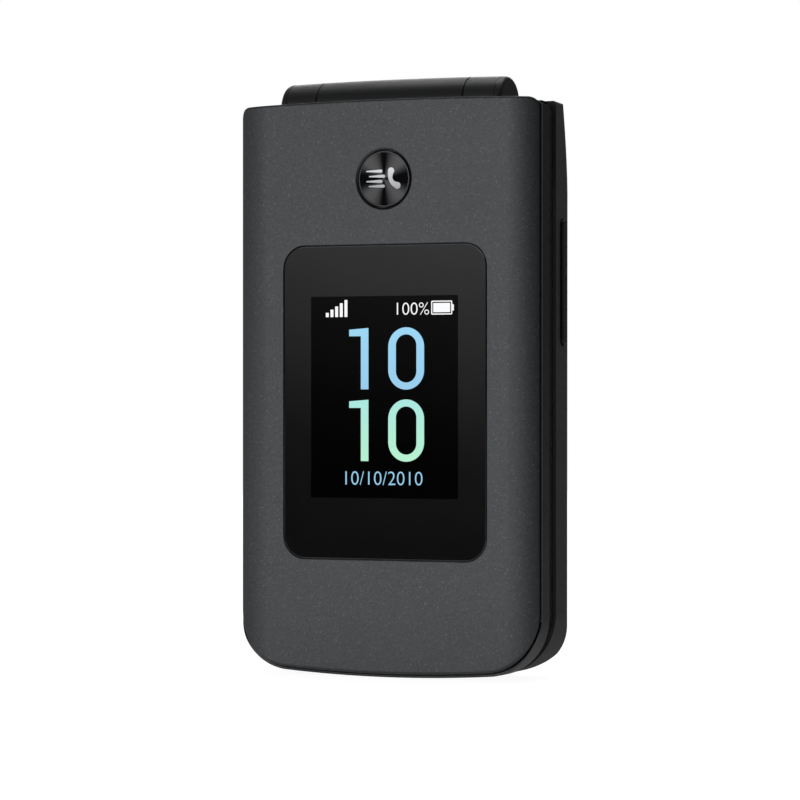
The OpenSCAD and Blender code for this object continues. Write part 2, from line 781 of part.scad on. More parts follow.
module lid_bumpers() color("#19191a") between(lid_t - air + cut, lid_t + bumper_out)
  lid_screw_places() circle(screw_head_d / 2);

/* ---- Hinge ---- */

cart_x = -knuckle_half + knuckle_gap / 2;
shaft_head_len = barrel_half - barrel_round - knuckle_half - knuckle_gap / 2;
cam_x = cart_x + 2 * air;
follower_x = cam_x + cam_len + 2 * air;
spring_x = follower_x + cam_len + air;
spring_end = cart_x + cartridge_len - cartridge_wall - air;

module hinge_cartridge() color("#9a9b9e") difference() {
  rod(cart_x, cart_x + cartridge_len, cartridge_r);
  rod(cart_x - over, cart_x + cartridge_len - cartridge_wall, cartridge_r - cartridge_wall);
}

module cam_follower() color("#b9babd") difference() {
  rod(follower_x, follower_x + cam_len, cartridge_r - cartridge_wall - run);
  rod(follower_x - over, follower_x + cam_len + over, shaft_r + run);
}

module cam_shaft() color("#c8c9cc") {
  on_axis(-knuckle_half - knuckle_gap / 2 - shaft_head_len)
    translate([-shaft_square / 2, -shaft_square / 2, 0]) cube([shaft_square, shaft_square, shaft_head_len]);
  rod(-knuckle_half - knuckle_gap / 2 - cut, spring_end - shaft_short, shaft_r);
  rod(cam_x, cam_x + cam_len, cartridge_r - cartridge_wall - run);
}

// Round wire swept along a helix: a ring of points for each step, stitched to the next
module cam_spring() color("#8a8b8e") {
  per_turn = 12;
  sides = 6;
  rings = coil_turns * per_turn;
  length = spring_end - spring_x - 2 * wire_r;
  points = [for (i = [0:rings], k = [0:sides - 1])
    let(a = 360 * i / per_turn, b = 360 * k / sides, r = coil_r + wire_r * cos(b))
      [r * cos(a), r * sin(a), wire_r + length * i / rings + wire_r * sin(b)]];
  walls = [for (i = [0:rings - 1], k = [0:sides - 1]) let(n = (k + 1) % sides)
    [i * sides + k, i * sides + n, (i + 1) * sides + n, (i + 1) * sides + k]];
  foot = [for (k = [sides - 1:-1:0]) k];
  head = [for (k = [0:sides - 1]) rings * sides + k];
  on_axis(spring_x) polyhedron(points, concat(walls, [foot, head]));
}

module hollow_pin() color("#c8c9cc") difference() {
  rod(knuckle_half - bushing_len, barrel_half - barrel_round, pin_r);
  rod(knuckle_half - bushing_len - over, barrel_half, pin_bore_r);
}

module pin_bushing() color("#d8d4c8") difference() {
  rod(knuckle_half - bushing_len, knuckle_half - knuckle_gap / 2 - cut, cartridge_r);
  rod(knuckle_half - bushing_len - over, knuckle_half + over, pin_r + run);
}

flex_x0 = cart_x + cartridge_len + 4 * air;
flex_mid = flex_x0 + flex_w / 2;
flex_coil_r = cartridge_r - 3 * air;

module flex_slot() {
  between(lid_board_d + lid_board_t - air, axis_d - flex_coil_r + 8 * flex_t)
    translate([flex_mid, (barrel_foot + axis_z - flex_t) / 2])
    square([flex_w + 4 * air, axis_z - barrel_foot + flex_t], center = true);
}

module hinge_flex() color("#c98a3a") {
  difference() {
    rod(flex_x0, flex_x0 + flex_w, flex_coil_r);
    rod(flex_x0 - over, flex_x0 + flex_w + over, flex_coil_r - flex_t);
  }
  tail_d = lid_board_d + lid_board_t;
  between(tail_d, tail_d + flex_t) translate([flex_mid, 0])
    translate([-flex_w / 2, barrel_foot - flex_tail]) square([flex_w, axis_z - barrel_foot + flex_tail]);
}

/* ---- Base ---- */

module base_screw_places() {
  pair_2d() {
    translate([foot_screw_x, foot_screw_z]) children();
    translate([belt_screw_x, belt_screw_z]) children();
  }
}

module front_housing() color("#1b1c1d") difference() {
  union() {
    difference() {
      between(base_d, rear_d) outline(band_in, axis_z - front_fall);
      difference() {
        between(base_d + key_face_t, rear_d + cut) outline(band_in + base_wall, barrel_foot);
        between(base_d, rear_d + over) base_screw_places() circle(boss_r);
      }
      rod(-knuckle_half - knuckle_gap / 2, knuckle_half + knuckle_gap / 2, barrel_r + barrel_gap);
    }
    between(base_d + key_face_t, bay_floor_d) base_screw_places() circle(boss_r);
    knuckle(knuckle_half + knuckle_gap / 2, barrel_half, barrel_round);
    mirror([1, 0, 0]) knuckle(knuckle_half + knuckle_gap / 2, barrel_half, barrel_round);
  }
  for (name = key_names) key_cut(key_place(name)) number_outline(key_clear);
  for (x = [-1, 1], z = [call_z, soft_z]) key_cut([x * side_key_x, z]) side_outline(key_clear);
  key_cut([0, nav_z]) circle(nav_r + key_clear);
  rod(-knuckle_half - knuckle_gap, -knuckle_half, shaft_r + 4 * fit);
  on_axis(-barrel_half + barrel_round) translate([-shaft_square / 2 - fit, -shaft_square / 2 - fit, 0])
    cube([shaft_square + 2 * fit, shaft_square + 2 * fit, shaft_head_len + knuckle_gap]);
  rod(knuckle_half, barrel_half - barrel_round + run, pin_r + run);
  between(base_d + key_face_t, bay_floor_d + over) base_screw_places() circle(pilot_r);
  between(base_d - over, base_d + key_face_t + over) translate([0, mic_z]) circle(mic_hole_r);
}

mic_z = foot_screw_z;

module key_cut(at) {
  between(base_d - over, base_d + key_face_t + over) translate(at) children();
}

function key_place(name) = let(i = search([name], key_names)[0])
  [(i % 3 - 1) * key_pitch_x, key_foot + key_h / 2 + floor(i / 3) * key_pitch_z];

module number_outline(grow) {
  rounded(key_w + 2 * grow, key_h + 2 * grow, key_r + grow);
}

module side_outline(grow) {
  rounded(side_key_w + 2 * grow, key_h + 2 * grow, key_r + grow);
}

// One key: its cap goes through the face, its flange keeps it in
module key_at(at) {
  between(base_d + key_sink, key_back_d + cut) translate(at) children(0);
  between(key_back_d, key_back_d + key_flange_t) translate(at) children(1);
}

module number_key(name) color("#2a2b2d") key_at(key_place(name)) {
  number_outline(0);
  number_outline(key_flange);
}

module side_key(x, z, tint) color(tint) key_at([x, z]) {
  side_outline(0);
  side_outline(key_flange);
}

module nav_ring() color("#55575a") key_at([0, nav_z]) {
  ring_2d(nav_r, nav_bore_r);
  ring_2d(nav_r + key_flange, nav_bore_r);
}

module ring_2d(outer, inner) difference() {
  circle(outer);
  circle(inner);
}

// The select key has no wall around it: the ring guides it
module select_key() color("#2a2b2d") key_at([0, nav_z]) {
  circle(nav_bore_r - key_clear);
  circle(nav_bore_r - key_clear);
}

module layer_outline() {
  difference() {
    outline(band_in + base_wall + fit, board_head);
    base_screw_places() circle(boss_r + fit);
    translate([0, mic_z]) square([mic_w + 2 * fit, mic_h + 2 * fit], center = true);
  }
}

module key_mat() color("#2d3a44") between(mat_d, mat_d + mat_t) layer_outline();

module dome_sheet() color("#c9c6bb") {
  between(dome_d0 + dome_h, board_d) layer_outline();
  between(dome_d0, dome_d0 + dome_h + cut) {
    for (name = key_names) translate(key_place(name)) circle(dome_d / 2);
    for (x = [-1, 1], z = [call_z, soft_z]) translate([x * side_key_x, z]) circle(dome_d / 2);
    for (a = [0:90:360]) translate([(nav_r - dome_d / 2) * cos(a), nav_z + (nav_r - dome_d / 2) * sin(a)])
      circle(dome_d / 2);
    translate([0, nav_z]) circle(dome_d / 2);
  }
}

module main_board() color("#1d4a33") between(board_d, board_d + board_t) difference() {
  outline(band_in + base_wall + fit, board_head);
  base_screw_places() circle(boss_r + fit);
}

module microphone() color("#b8b9bc") between(board_d - mic_t, board_d) translate([0, mic_z])
  square([mic_w, mic_h], center = true);

module shield_cans() color("#b4b6ba") {
  can([0, shield_low_z], [shield_w, shield_l]);
  can([-radio_x, sim_z], [radio_w, sim_h]);
}

module can(at, size) {
  difference() {
    between(shield_d, shield_d + shield_h) translate(at) square(size, center = true);
    between(shield_d - over, shield_d + shield_h - shield_sheet) translate(at)
      square([size[0] - 2 * shield_sheet, size[1] - 2 * shield_sheet], center = true);
  }
}

shield_low_z = battery_foot + shield_l / 2 + can_gap;
sim_z = shield_low_z + shield_l / 2 + sim_h / 2 + can_gap;

module sim_holder() color("#c4c6ca") difference() {
  between(shield_d, shield_d + sim_t) translate([sim_x, sim_z]) square([sim_w, sim_h], center = true);
  between(shield_d + shield_sheet, shield_d + sim_t - shield_sheet) translate([sim_x, sim_z + shield_sheet])
    square([sim_w - 4 * shield_sheet, sim_h], center = true);
}

/* ---- Rear housing ---- */

// Solid of the base behind the parting band, all faces moved in by inset
module rear_body(inset) {
  half = body_w / 2 - inset;
  back = body_t - inset;
  r = rear_r - inset;
  intersection() {
    between(rear_d, body_t) outline(inset, base_top - inset);
    along_x(-body_w, body_w) difference() {
      polygon(rear_profile(inset));
      difference() {
        translate([back - r, inset - 2 * r]) square([2 * r, 3 * r]);
        translate([back - r, inset + r]) circle(r);
      }
    }
    along_z(-over, 2 * body_h) difference() {
      translate([-body_w, rear_d - over]) square([2 * body_w, back - rear_d + over]);
      pair_2d() difference() {
        translate([half - r, back - r]) square(2 * r);
        translate([half - r, back - r]) circle(r);
      }
    }
  }
}

// Side view of the base's back: upright, then leaning in, with a round head edge
function rear_profile(inset) =
  let(back = body_t - inset, top = base_top - inset, lean = atan(taper_in / taper_h),
    r = max(head_edge_r - inset, 2 * fit), edge = back - taper_in,
    cy = top - r, cd = edge - r / cos(lean) + r * tan(lean))
  concat([[rear_d - over, -over], [back, -over], [back, base_top - taper_h]],
    arc_pts(cd, cy, r, lean, 90, 6), [[rear_d - over, top]]);

module cover_outline(grow) {
  half = body_w / 2 - back_cover_side;
  translate([0, (back_cover_foot + back_cover_top) / 2])
    rounded(2 * (half + grow), back_cover_top - back_cover_foot + 2 * grow, back_cover_r + grow);
}

module battery_cover() color("#232425") difference() {
  intersection() {
    rear_body(0);
    between(rear_d + 2 * shell_t, body_t + over) cover_outline(0);
  }
  rear_body(back_cover_t);
}

battery_w = body_w - 2 * battery_side;
bay_half = battery_w / 2 + battery_gap;
bay_foot = battery_foot - battery_gap;
upper_foot = bay_top + bay_wall;

module rear_cavity() {
  difference() {
    intersection() {
      rear_body(shell_t);
      union() {
        between(rear_d - over, bay_floor_d) square_zone(0);
        between(rear_d - over, body_t) square_zone(upper_foot);
        pair() side_channel();
      }
    }
    rod(-barrel_half - 2 * barrel_wall, barrel_half + 2 * barrel_wall, barrel_room);
    between(bay_floor_d - cut, body_t) base_screw_places() circle(head_hole_r + boss_wall);
    side_key_rib();
  }
}

module square_zone(foot) {
  translate([-body_w, foot]) square([2 * body_w, body_h]);
}

// Free space beside the bay, where the rocker and its switches go
module side_channel() {
  between(bay_floor_d - cut, body_t) translate([bay_half + bay_wall, rocker_foot - channel_over])
    square([body_w, body_h]);
}

module rear_housing() color("#272829") difference() {
  rear_body(0);
  rear_cavity();
  difference() {
    between(rear_d + 2 * shell_t, body_t + over) cover_outline(fit);
    rear_body(back_cover_t + air);
  }
  between(battery_d - air, body_t) translate([-bay_half, bay_foot]) square([2 * bay_half, bay_top - bay_foot]);
  rod(-barrel_half - barrel_gap, barrel_half + barrel_gap, barrel_r + barrel_gap);
  between(bay_floor_d - over, body_t) base_screw_places() circle(hole_r);
  between(screw_seat_d, body_t) base_screw_places() circle(head_hole_r);
  between(rear_d - over, bay_floor_d) base_screw_places() circle(boss_r + fit);
  between(bay_floor_d - over, battery_d) translate([sim_x, sim_z]) square([sim_w, sim_h], center = true);
  between(contact_d - air, contact_d + contact_t + air)
    translate([0, bay_top + bay_wall / 2]) square([contact_w + 4 * fit, 2 * bay_wall], center = true);
  translate([camera_x, y_of(body_t - shell_t - over), camera_z]) rotate([-90, 0, 0]) {
    cylinder(h = shell_t + 2 * over, r = camera_lens_d / 2 - camera_ledge);
    translate([0, 0, over + shell_t - lens_t]) cylinder(h = shell_t, r = camera_lens_d / 2 + fit);
    translate([flash_off, 0, 0]) cylinder(h = shell_t + 2 * over, r = flash_d / 2 + fit);
  }
  for (i = [0:slot_n - over]) between(body_t - 2 * shell_t, body_t + over)
    translate([-speaker_x, camera_z + (i - (slot_n - 1) / 2) * slot_pitch])
    rounded(slot_l, slot_w, slot_w / 2 - cut);
  rocker_slot();
  side_block(flange_x - rocker_swing, rocker_inner_x, rocker_w + 4 * fit + 2 * channel_over,
    rocker_l + 2 * rocker_flange + 2 * channel_over);
  side_rod(side_x + over, jack_x - over, jack_r + jack_rim + fit);
  translate([-body_w / 2 - over, y_of(usb_d - fit), usb_z - usb_w / 2 - fit])
    cube([shell_t + 2 * over, usb_t + 2 * fit, usb_w + 2 * fit]);
}

screw_seat_d = back_cover_d - screw_sink - screw_head_t;

module base_screws() color("#8c8d90") {
  between(screw_seat_d, screw_seat_d + screw_head_t) base_screw_places() circle(screw_head_d / 2);
  between(base_d + key_face_t + air, screw_seat_d + cut) base_screw_places() circle(screw_d / 2);
}

module battery() color("#2f3133") between(battery_d, battery_d + battery_t)
  translate([-battery_w / 2, battery_foot]) square([battery_w, battery_h]);

contact_d = battery_d + contact_in;

module battery_contacts() color("#c9a64a") {
  between(contact_d, contact_d + contact_t)
    translate([0, bay_top + air]) translate([-contact_w / 2, 0]) square([contact_w, bay_wall + contact_behind]);
  between(contact_d + contact_t / 4, contact_d + 3 * contact_t / 4)
    for (x = [-1:1]) translate([x * contact_w / 3 - contact_pin_w / 2, bay_top - battery_gap + air])
      square([contact_pin_w, battery_gap + cut]);
}

/* ---- Side key ---- */

side_x = body_w / 2;
rocker_d = rear_d + rocker_in;
rocker_z = belt_screw_z + rocker_over;
rocker_inner_x = side_x - shell_t - rocker_room;
flange_x = rocker_inner_x - rocker_flange_t;
rocker_foot = rocker_z - rocker_l / 2 - rocker_flange;
nub_t = side_stroke + air;
switch_x = flange_x - nub_t - side_stroke;
side_board_x = switch_x - side_switch_h;
side_board_half = side_switch_half + side_switch_l / 2 + 2 * air;

// A stadium seen from the side, solid between two X values
module side_stadium(x0, x1, w, l) {
  translate([x0, y_of(rocker_d), rocker_z]) rotate([90, 0, 90]) linear_extrude(x1 - x0) {
    square([w, l - w], center = true);
    for (z = [-1, 1]) translate([0, z * (l - w) / 2]) circle(w / 2);
  }
}

module rocker_slot() {
  side_stadium(side_x - shell_t - over, side_x + over, rocker_w + 2 * fit, rocker_l + 4 * fit);
}

module side_block(x0, x1, w, l, z = 0) {
  translate([x0, y_of(rocker_d - w / 2), rocker_z + z - l / 2]) cube([x1 - x0, w, l]);
}

module volume_rocker() color("#2a2b2c") {
  side_stadium(rocker_inner_x - cut, side_x + rocker_out, rocker_w, rocker_l);
  side_stadium(flange_x, rocker_inner_x, rocker_w + 4 * fit, rocker_l + 2 * rocker_flange);
  for (z = [-1, 1]) side_block(flange_x - nub_t, flange_x + cut, nub_w, nub_w, z * side_switch_half);
}

module side_key_rib() {
  translate([side_board_x - side_board_t - side_rib_t, y_of(bay_floor_d), rocker_z - side_board_half])
    cube([side_rib_t, body_t - bay_floor_d, 2 * side_board_half]);
}

module side_key_board() color("#1d4a33") {
  side_block(side_board_x - side_board_t, side_board_x, rocker_w, 2 * side_board_half);
  for (z = [-1, 1])
    side_block(side_board_x - cut, switch_x, rocker_w - 4 * fit, side_switch_l, z * side_switch_half);
}

/* ---- Sockets, camera and sound ---- */

jack_d = shield_d + jack_r + jack_wall + air;
jack_x = side_x - shell_t - round_in(jack_d + jack_r + jack_wall) - air;
usb_d = shield_d;

// How far the rounded rear edge takes the inner wall in, at a depth
function round_in(depth) =
  let(r = rear_r - shell_t, past = max(depth - (body_t - rear_r), 0)) r - sqrt(r * r - past * past);

module side_rod(x0, x1, r) {
  translate([-x0, y_of(jack_d), jack_z]) rotate([0, 90, 0]) cylinder(h = x0 - x1, r = r);
}

module headphone_jack() color("#191a1b") difference() {
  union() {
    side_rod(jack_x, side_x - jack_len, jack_r + jack_wall);
    side_rod(side_x - jack_sink, jack_x - over, jack_r + jack_rim);
  }
  side_rod(side_x + over, side_x - jack_len + jack_end, jack_r);
}

module usb_socket() color("#b4b6ba") difference() {
  translate([-side_x + 2 * air, y_of(usb_d), usb_z - usb_w / 2]) cube([usb_l + shell_t, usb_t, usb_w]);
  translate([-side_x - over, y_of(usb_d + shield_sheet), usb_z - usb_w / 2 + shield_sheet])
    cube([usb_l + shell_t, usb_t - 2 * shield_sheet, usb_w - 2 * shield_sheet]);
}

wall_d = body_t - shell_t;

module loudspeaker() color("#3a3b3d") between(wall_d - air - speaker_t, wall_d - air)
  translate([-speaker_x, camera_z]) square([speaker_w, speaker_h], center = true);

module speaker_mesh() color("#18191a") between(wall_d - air + cut, wall_d) translate([-speaker_x, camera_z])
  square([slot_l + 2 * mesh_over, slot_n * slot_pitch], center = true);

module camera_module() color("#202225") {
  between(wall_d - air - camera_t, wall_d - air) translate([camera_x, camera_z])
    square([camera_w, camera_w], center = true);
}

module camera_lens() color("#0c0d0e") translate([camera_x, y_of(body_t - lens_t), camera_z]) rotate([-90, 0, 0])
  cylinder(h = lens_t - 2 * air, r = camera_lens_d / 2);

module flash_lens() color("#e6e2cf") translate([camera_x + flash_off, y_of(wall_d), camera_z])
  rotate([-90, 0, 0]) cylinder(h = shell_t - 2 * air, r = flash_d / 2);

module vibration_motor() color("#b4b6ba") {
  translate([camera_x - motor_l / 2, y_of(wall_d - taper_in - motor_d / 2), camera_z + camera_w / 2 + motor_d])
    rotate([0, 90, 0]) cylinder(h = motor_l, r = motor_d / 2);
}

lid_cover();
outer_window();
outer_display();
button_switch();
lid_board();
lid_frame();
main_display();
main_lens();
earpiece();
earpiece_mesh();
lid_bumpers();
lid_screws();
quick_call_button();
hinge_cartridge();
cam_follower();
cam_spring();
cam_shaft();
hollow_pin();
pin_bushing();
hinge_flex();
front_housing();
rear_housing();
battery_cover();
battery();
battery_contacts();
key_mat();
dome_sheet();
main_board();
shield_cans();
microphone();
usb_socket();
headphone_jack();
loudspeaker();
speaker_mesh();
camera_module();
camera_lens();
flash_lens();
vibration_motor();
sim_holder();
side_key_board();
base_screws();
volume_rocker();
nav_ring();
select_key();
side_key(-side_key_x, call_z, "#2e7d4f");  // key_call
side_key(side_key_x, call_z, "#a33a34");  // key_end
side_key(-side_key_x, soft_z, "#2a2b2d");  // key_soft_left
side_key(side_key_x, soft_z, "#2a2b2d");  // key_soft_right
for (name = key_names) number_key(name);
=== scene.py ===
"""A closed flip phone that stands on its foot edge: its skins, its keys, its screen picture and its finishes.

X runs to the right, Y to the back and Z up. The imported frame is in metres. The sizes below are in millimetres,
and a depth is counted backwards from the lid's front face.
"""

import logging
import math
from contextlib import contextmanager
from dataclasses import dataclass, field
from enum import Enum
from typing import Callable, Iterator, Self, Sequence

import bmesh
import bpy
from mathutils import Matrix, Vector


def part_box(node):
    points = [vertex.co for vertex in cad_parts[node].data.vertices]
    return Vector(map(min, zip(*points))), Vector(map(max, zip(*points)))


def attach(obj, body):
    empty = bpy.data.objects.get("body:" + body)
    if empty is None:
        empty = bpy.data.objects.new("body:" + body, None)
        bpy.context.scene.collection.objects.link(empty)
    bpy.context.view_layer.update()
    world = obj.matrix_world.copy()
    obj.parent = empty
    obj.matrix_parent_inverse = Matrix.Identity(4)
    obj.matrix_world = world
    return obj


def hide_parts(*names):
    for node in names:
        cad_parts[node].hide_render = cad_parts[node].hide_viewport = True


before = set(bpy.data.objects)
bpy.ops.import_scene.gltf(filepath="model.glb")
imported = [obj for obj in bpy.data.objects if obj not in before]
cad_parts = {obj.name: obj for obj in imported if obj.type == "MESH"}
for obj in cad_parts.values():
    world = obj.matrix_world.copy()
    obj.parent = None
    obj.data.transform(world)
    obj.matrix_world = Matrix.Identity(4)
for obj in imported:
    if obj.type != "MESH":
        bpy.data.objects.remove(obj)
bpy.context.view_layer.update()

log = logging.getLogger("flip_phone")

MM = 0.001
BLACK = (0.0, 0.0, 0.0, 1.0)
WHITE = (1.0, 1.0, 1.0, 1.0)

Point = tuple[float, float]
Place = tuple[float, float, float]
Colour = tuple[int, int, int]
Piece = bpy.types.Object
Node = bpy.types.Node
Tree = bpy.types.NodeTree
Socket = bpy.types.NodeSocket
Outline = Callable[[float], list[Point]]
Step = tuple[float, float]
Shaper = Callable[[int, float, float, float, float], Place]
Chooser = Callable[[Vector, Vector], bool]


class Facing(Enum):
    """The side that a piece shows, and so the axis along which its outline rises."""

    FRONT = "front"
    SIDE = "side"


class Body(Enum):
    """The moving bodies that carry the modelled pieces."""

    LID = "lid"
    BASE = "base"
    BUTTON = "quick_call_button"
    BACK = "battery_cover"
    ROCKER = "volume_rocker"


# --- Measures that are read off the frame ---


@dataclass(frozen=True)
class NodeBox:
    """The box of a node, in millimetres.

    Args:
        node: The node's name.
    """

    node: str

    @property
    def low(self) -> Vector:
        """The lowest corner."""
        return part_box(self.node)[0] / MM

    @property
    def high(self) -> Vector:
        """The highest corner."""
        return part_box(self.node)[1] / MM

    @property
    def middle(self) -> Vector:
        """The middle of the box."""
        return (self.low + self.high) / 2

    @property
    def spot(self) -> Point:
        """The middle of the box as it is seen from the front."""
        return self.middle.x, self.middle.z

    @property
    def size(self) -> Vector:
        """The lengths of the box's sides."""
        return self.high - self.low


FRONT_Y = NodeBox("lid_cover").low.y


def y_of(depth: float) -> float:
    """Gives the place along Y of a depth behind the lid's front face."""
    return FRONT_Y + depth


def depth_of(y: float) -> float:
    """Gives the depth behind the lid's front face of a place along Y."""
    return y - FRONT_Y


def held(share: float) -> float:
    """Holds a share between 0 and 1."""
    return min(max(share, 0.0), 1.0)


def edge_insets(radius: float, steps: int) -> list[float]:
    """Gives how far in the steps of a rounded edge lie, from its side to its face."""
    return [radius * (1 - math.cos(math.pi / 2 * i / steps)) for i in range(steps + 1)]


# --- Outlines: each gives its points, moved inwards by an inset, always as many and in the same order ---


def arc(middle: Point, radius: float, start: float, end: float, steps: int) -> list[Point]:
    """Gives the points of an arc.

    Args:
        middle: The arc's centre.
        radius: Its radius.
        start: The angle of its first point, in degrees.
        end: The angle of its last point, in degrees.
        steps: How many steps it has.

    Returns:
        The points, one more than the steps.
    """
    angles = [math.radians(start + (end - start) * i / steps) for i in range(steps + 1)]
    return [(middle[0] + radius * math.cos(a), middle[1] + radius * math.sin(a)) for a in angles]


def rounded_rectangle(width: float, height: float, radius: float, middle: Point = (0.0, 0.0),
                      steps: int = 10) -> Outline:
    """Gives the outline of a rectangle with round corners.

    Args:
        width: Its width.
        height: Its height.
        radius: The radius of its corners.
        middle: Its middle.
        steps: How many steps each corner has.

    Returns:
        The outline.
    """
    def points(inset: float) -> list[Point]:
        """Gives the points at an inset.

        Args:
            inset: How far the outline is moved in.

        Returns:
            The points, anticlockwise.
        """
        r = max(radius - inset, 0.0)
        u, v = width / 2 - inset - r, height / 2 - inset - r
        corners = ((u, -v, -90.0), (u, v, 0.0), (-u, v, 90.0), (-u, -v, 180.0))
        return [p for cu, cv, a in corners
                for p in arc((middle[0] + cu, middle[1] + cv), r, a, a + 90.0, steps)]
    return points


def disc(radius: float, middle: Point = (0.0, 0.0), steps: int = 96) -> Outline:
    """Gives the outline of a round piece.

    Args:
        radius: Its radius.
        middle: Its middle.
        steps: How many points it has.

    Returns:
        The outline.
    """
    def points(inset: float) -> list[Point]:
        """Gives the points at an inset."""
        return arc(middle, radius - inset, 0.0, 360.0, steps)[:-1]
    return points


def polygon(corners: Sequence[Point]) -> Outline:
    """Gives an outline with fixed corners, that no inset changes."""
    return lambda inset: list(corners)


def tapered_stroke(path: Sequence[Point], radii: Sequence[float], cap_steps: int = 8) -> Outline:
    """Gives the outline of a pen stroke with round ends.

    Args:
        path: The middle line, from its start to its end.
        radii: Half the stroke's width at each point of the path.
        cap_steps: How many steps each round end has.

    Returns:
        The outline, which no inset changes.
    """
    points = [Vector(p) for p in path]
    last = len(points) - 1
    ways = [(points[min(i + 1, last)] - points[max(i - 1, 0)]).normalized() for i in range(last + 1)]
    sides = [Vector((-w.y, w.x)) * r for w, r in zip(ways, radii)]
    right = [tuple(p - s) for p, s in zip(points, sides)]
    left = [tuple(p + s) for p, s in zip(points, sides)]
    end_angle = math.degrees(math.atan2(ways[-1].y, ways[-1].x))
    start_angle = math.degrees(math.atan2(ways[0].y, ways[0].x))
    end_cap = arc(path[-1], radii[-1], end_angle - 90.0, end_angle + 90.0, cap_steps)
    start_cap = arc(path[0], radii[0], start_angle + 90.0, start_angle + 270.0, cap_steps)
    return polygon(right[:-1] + end_cap + left[::-1][1:-1] + start_cap[:-1])


@dataclass(frozen=True)
class PhoneOutline:
    """The front outline of the phone: straight sides, bowed foot and head, round corners.

    Args:
        half: Half the width.
        head: Height of the head edge at the middle.
        foot: Height of the foot edge at the middle.
        foot_r: Radius of the foot corners.
        foot_bow: Radius of the foot edge's bow.
        head_r: Radius of the head corners.
        head_bow: Radius of the head edge's bow.
        bow_steps: How many steps half a bow has.
        corner_steps: How many steps a corner has.
    """

    half: float
    head: float
    foot: float = 0.0
    foot_r: float = 10.8
    foot_bow: float = 262.0
    head_r: float = 0.6
    head_bow: float = 800.0
    bow_steps: int = 8
    corner_steps: int = 14

    def _corner(self, inset: float, r: float, bow_middle: float, bow_r: float, up: int) -> tuple[Point, float]:
        """Gives a right-hand corner's centre and the angle at which it meets the bow."""
        x = self.half - inset - r
        z = bow_middle + up * math.sqrt((bow_r - r) ** 2 - x * x)
        return (x, z), math.degrees(math.atan2(z - bow_middle, x))

    def rays(self) -> list[Point]:
        """Gives the outward direction at each point of the outline."""
        return [(math.cos(math.radians(a)), math.sin(math.radians(a))) for _, _, a in self._stations(0.0)]

    def points(self, inset: float) -> list[Point]:
        """Gives the points at an inset."""
        return [(x, z) for x, z, _ in self._stations(inset)]

    def spots(self) -> list[tuple[float, float, float, float]]:
        """Gives each point of the outline with the outward direction there."""
        return [(*point, *ray) for point, ray in zip(self.points(0.0), self.rays())]

    def _stations(self, inset: float) -> list[tuple[float, float, float]]:
        """Gives each point with its outward angle, anticlockwise from the middle of the foot.

        Args:
            inset: How far the outline is moved in.

        Returns:
            The points, each with its angle in degrees.
        """
        foot_middle = self.foot + self.foot_bow
        foot_bow = self.foot_bow - inset
        head_middle = self.head - self.head_bow
        head_bow = self.head_bow - inset
        foot_r, head_r = max(self.foot_r - inset, 0.0), max(self.head_r - inset, 0.0)
        low, low_angle = self._corner(inset, foot_r, foot_middle, foot_bow, -1)
        high, high_angle = self._corner(inset, head_r, head_middle, head_bow, 1)
        right: list[tuple[float, float, float]] = []
        for i in range(self.bow_steps):
            a = -90.0 + (low_angle + 90.0) * i / self.bow_steps
            right.append((*arc((0.0, foot_middle), foot_bow, a, a, 1)[0], a))
        for centre, r, start, end in ((low, foot_r, low_angle, 0.0), (high, head_r, 0.0, high_angle)):
            for i in range(self.corner_steps + 1):
                a = start + (end - start) * i / self.corner_steps
                right.append((*arc(centre, r, a, a, 1)[0], a))
        for i in range(1, self.bow_steps + 1):
            a = high_angle + (90.0 - high_angle) * i / self.bow_steps
            right.append((*arc((0.0, head_middle), head_bow, a, a, 1)[0], a))
        left = [(-x, z, 180.0 - a) for x, z, a in right[-2:0:-1]]
        return right + left


def nearest(spots: list[tuple[float, float, float, float]], x: float, z: float) -> tuple[float, Point]:
    """Gives how far a point lies within an outline, and the outward direction of the nearest stretch.

    Args:
        spots: The outline's points, each with its outward direction.
        x: The point's place across.
        z: The point's height.

    Returns:
        The distance and the direction.
    """
    distance, ray_x, ray_z = min(((u - x) * rx + (v - z) * rz, rx, rz) for u, v, rx, rz in spots)
    return distance, (ray_x, ray_z)


def quarter_round(radius: float, inset: float, top: float, rise: int, steps: int = 4) -> list[Step]:
    """Gives the steps of an edge that is rounded into a face.

    Args:
        radius: The edge's radius.
        inset: The inset of the wall below the edge.
        top: The place of the face.
        rise: 1 where the piece rises to greater places, -1 where it rises to smaller ones.
        steps: How many steps the rounding has.

    Returns:
        Pairs of inset and place, and a last narrow step on the face that keeps the shading on it flat.
    """
    angles = [math.pi / 2 * i / steps for i in range(steps + 1)]
    edge = [(inset + radius * (1 - math.cos(a)), top - rise * radius * (1 - math.sin(a))) for a in angles]
    return edge + [(inset + radius * 1.25, top)]


# --- Bench work: the steps by which every new piece is modelled ---


def activate(piece: Piece) -> None:
    """Makes a piece the only selected one, and the active one."""
    bpy.ops.object.select_all(action="DESELECT")
    piece.select_set(True)
    bpy.context.view_layer.objects.active = piece


@contextmanager
def editing(piece: Piece, kind: str = "VERT") -> Iterator[bmesh.types.BMesh]:
    """Opens a piece in edit mode.

    Args:
        piece: The piece.
        kind: What is selected: VERT, EDGE or FACE.

    Yields:
        The mesh that is being edited.
    """
    activate(piece)
    bpy.ops.object.mode_set(mode="EDIT")
    bpy.ops.mesh.select_mode(type=kind)
    yield bmesh.from_edit_mesh(piece.data)
    bpy.ops.object.mode_set(mode="OBJECT")


def place(facing: Facing, u: float, v: float, level: float) -> Vector:
    """Gives the place in metres of an outline's point at a level along the facing's axis."""
    if facing is Facing.FRONT:
        return Vector((u, level, v)) * MM
    return Vector((level, u, v)) * MM


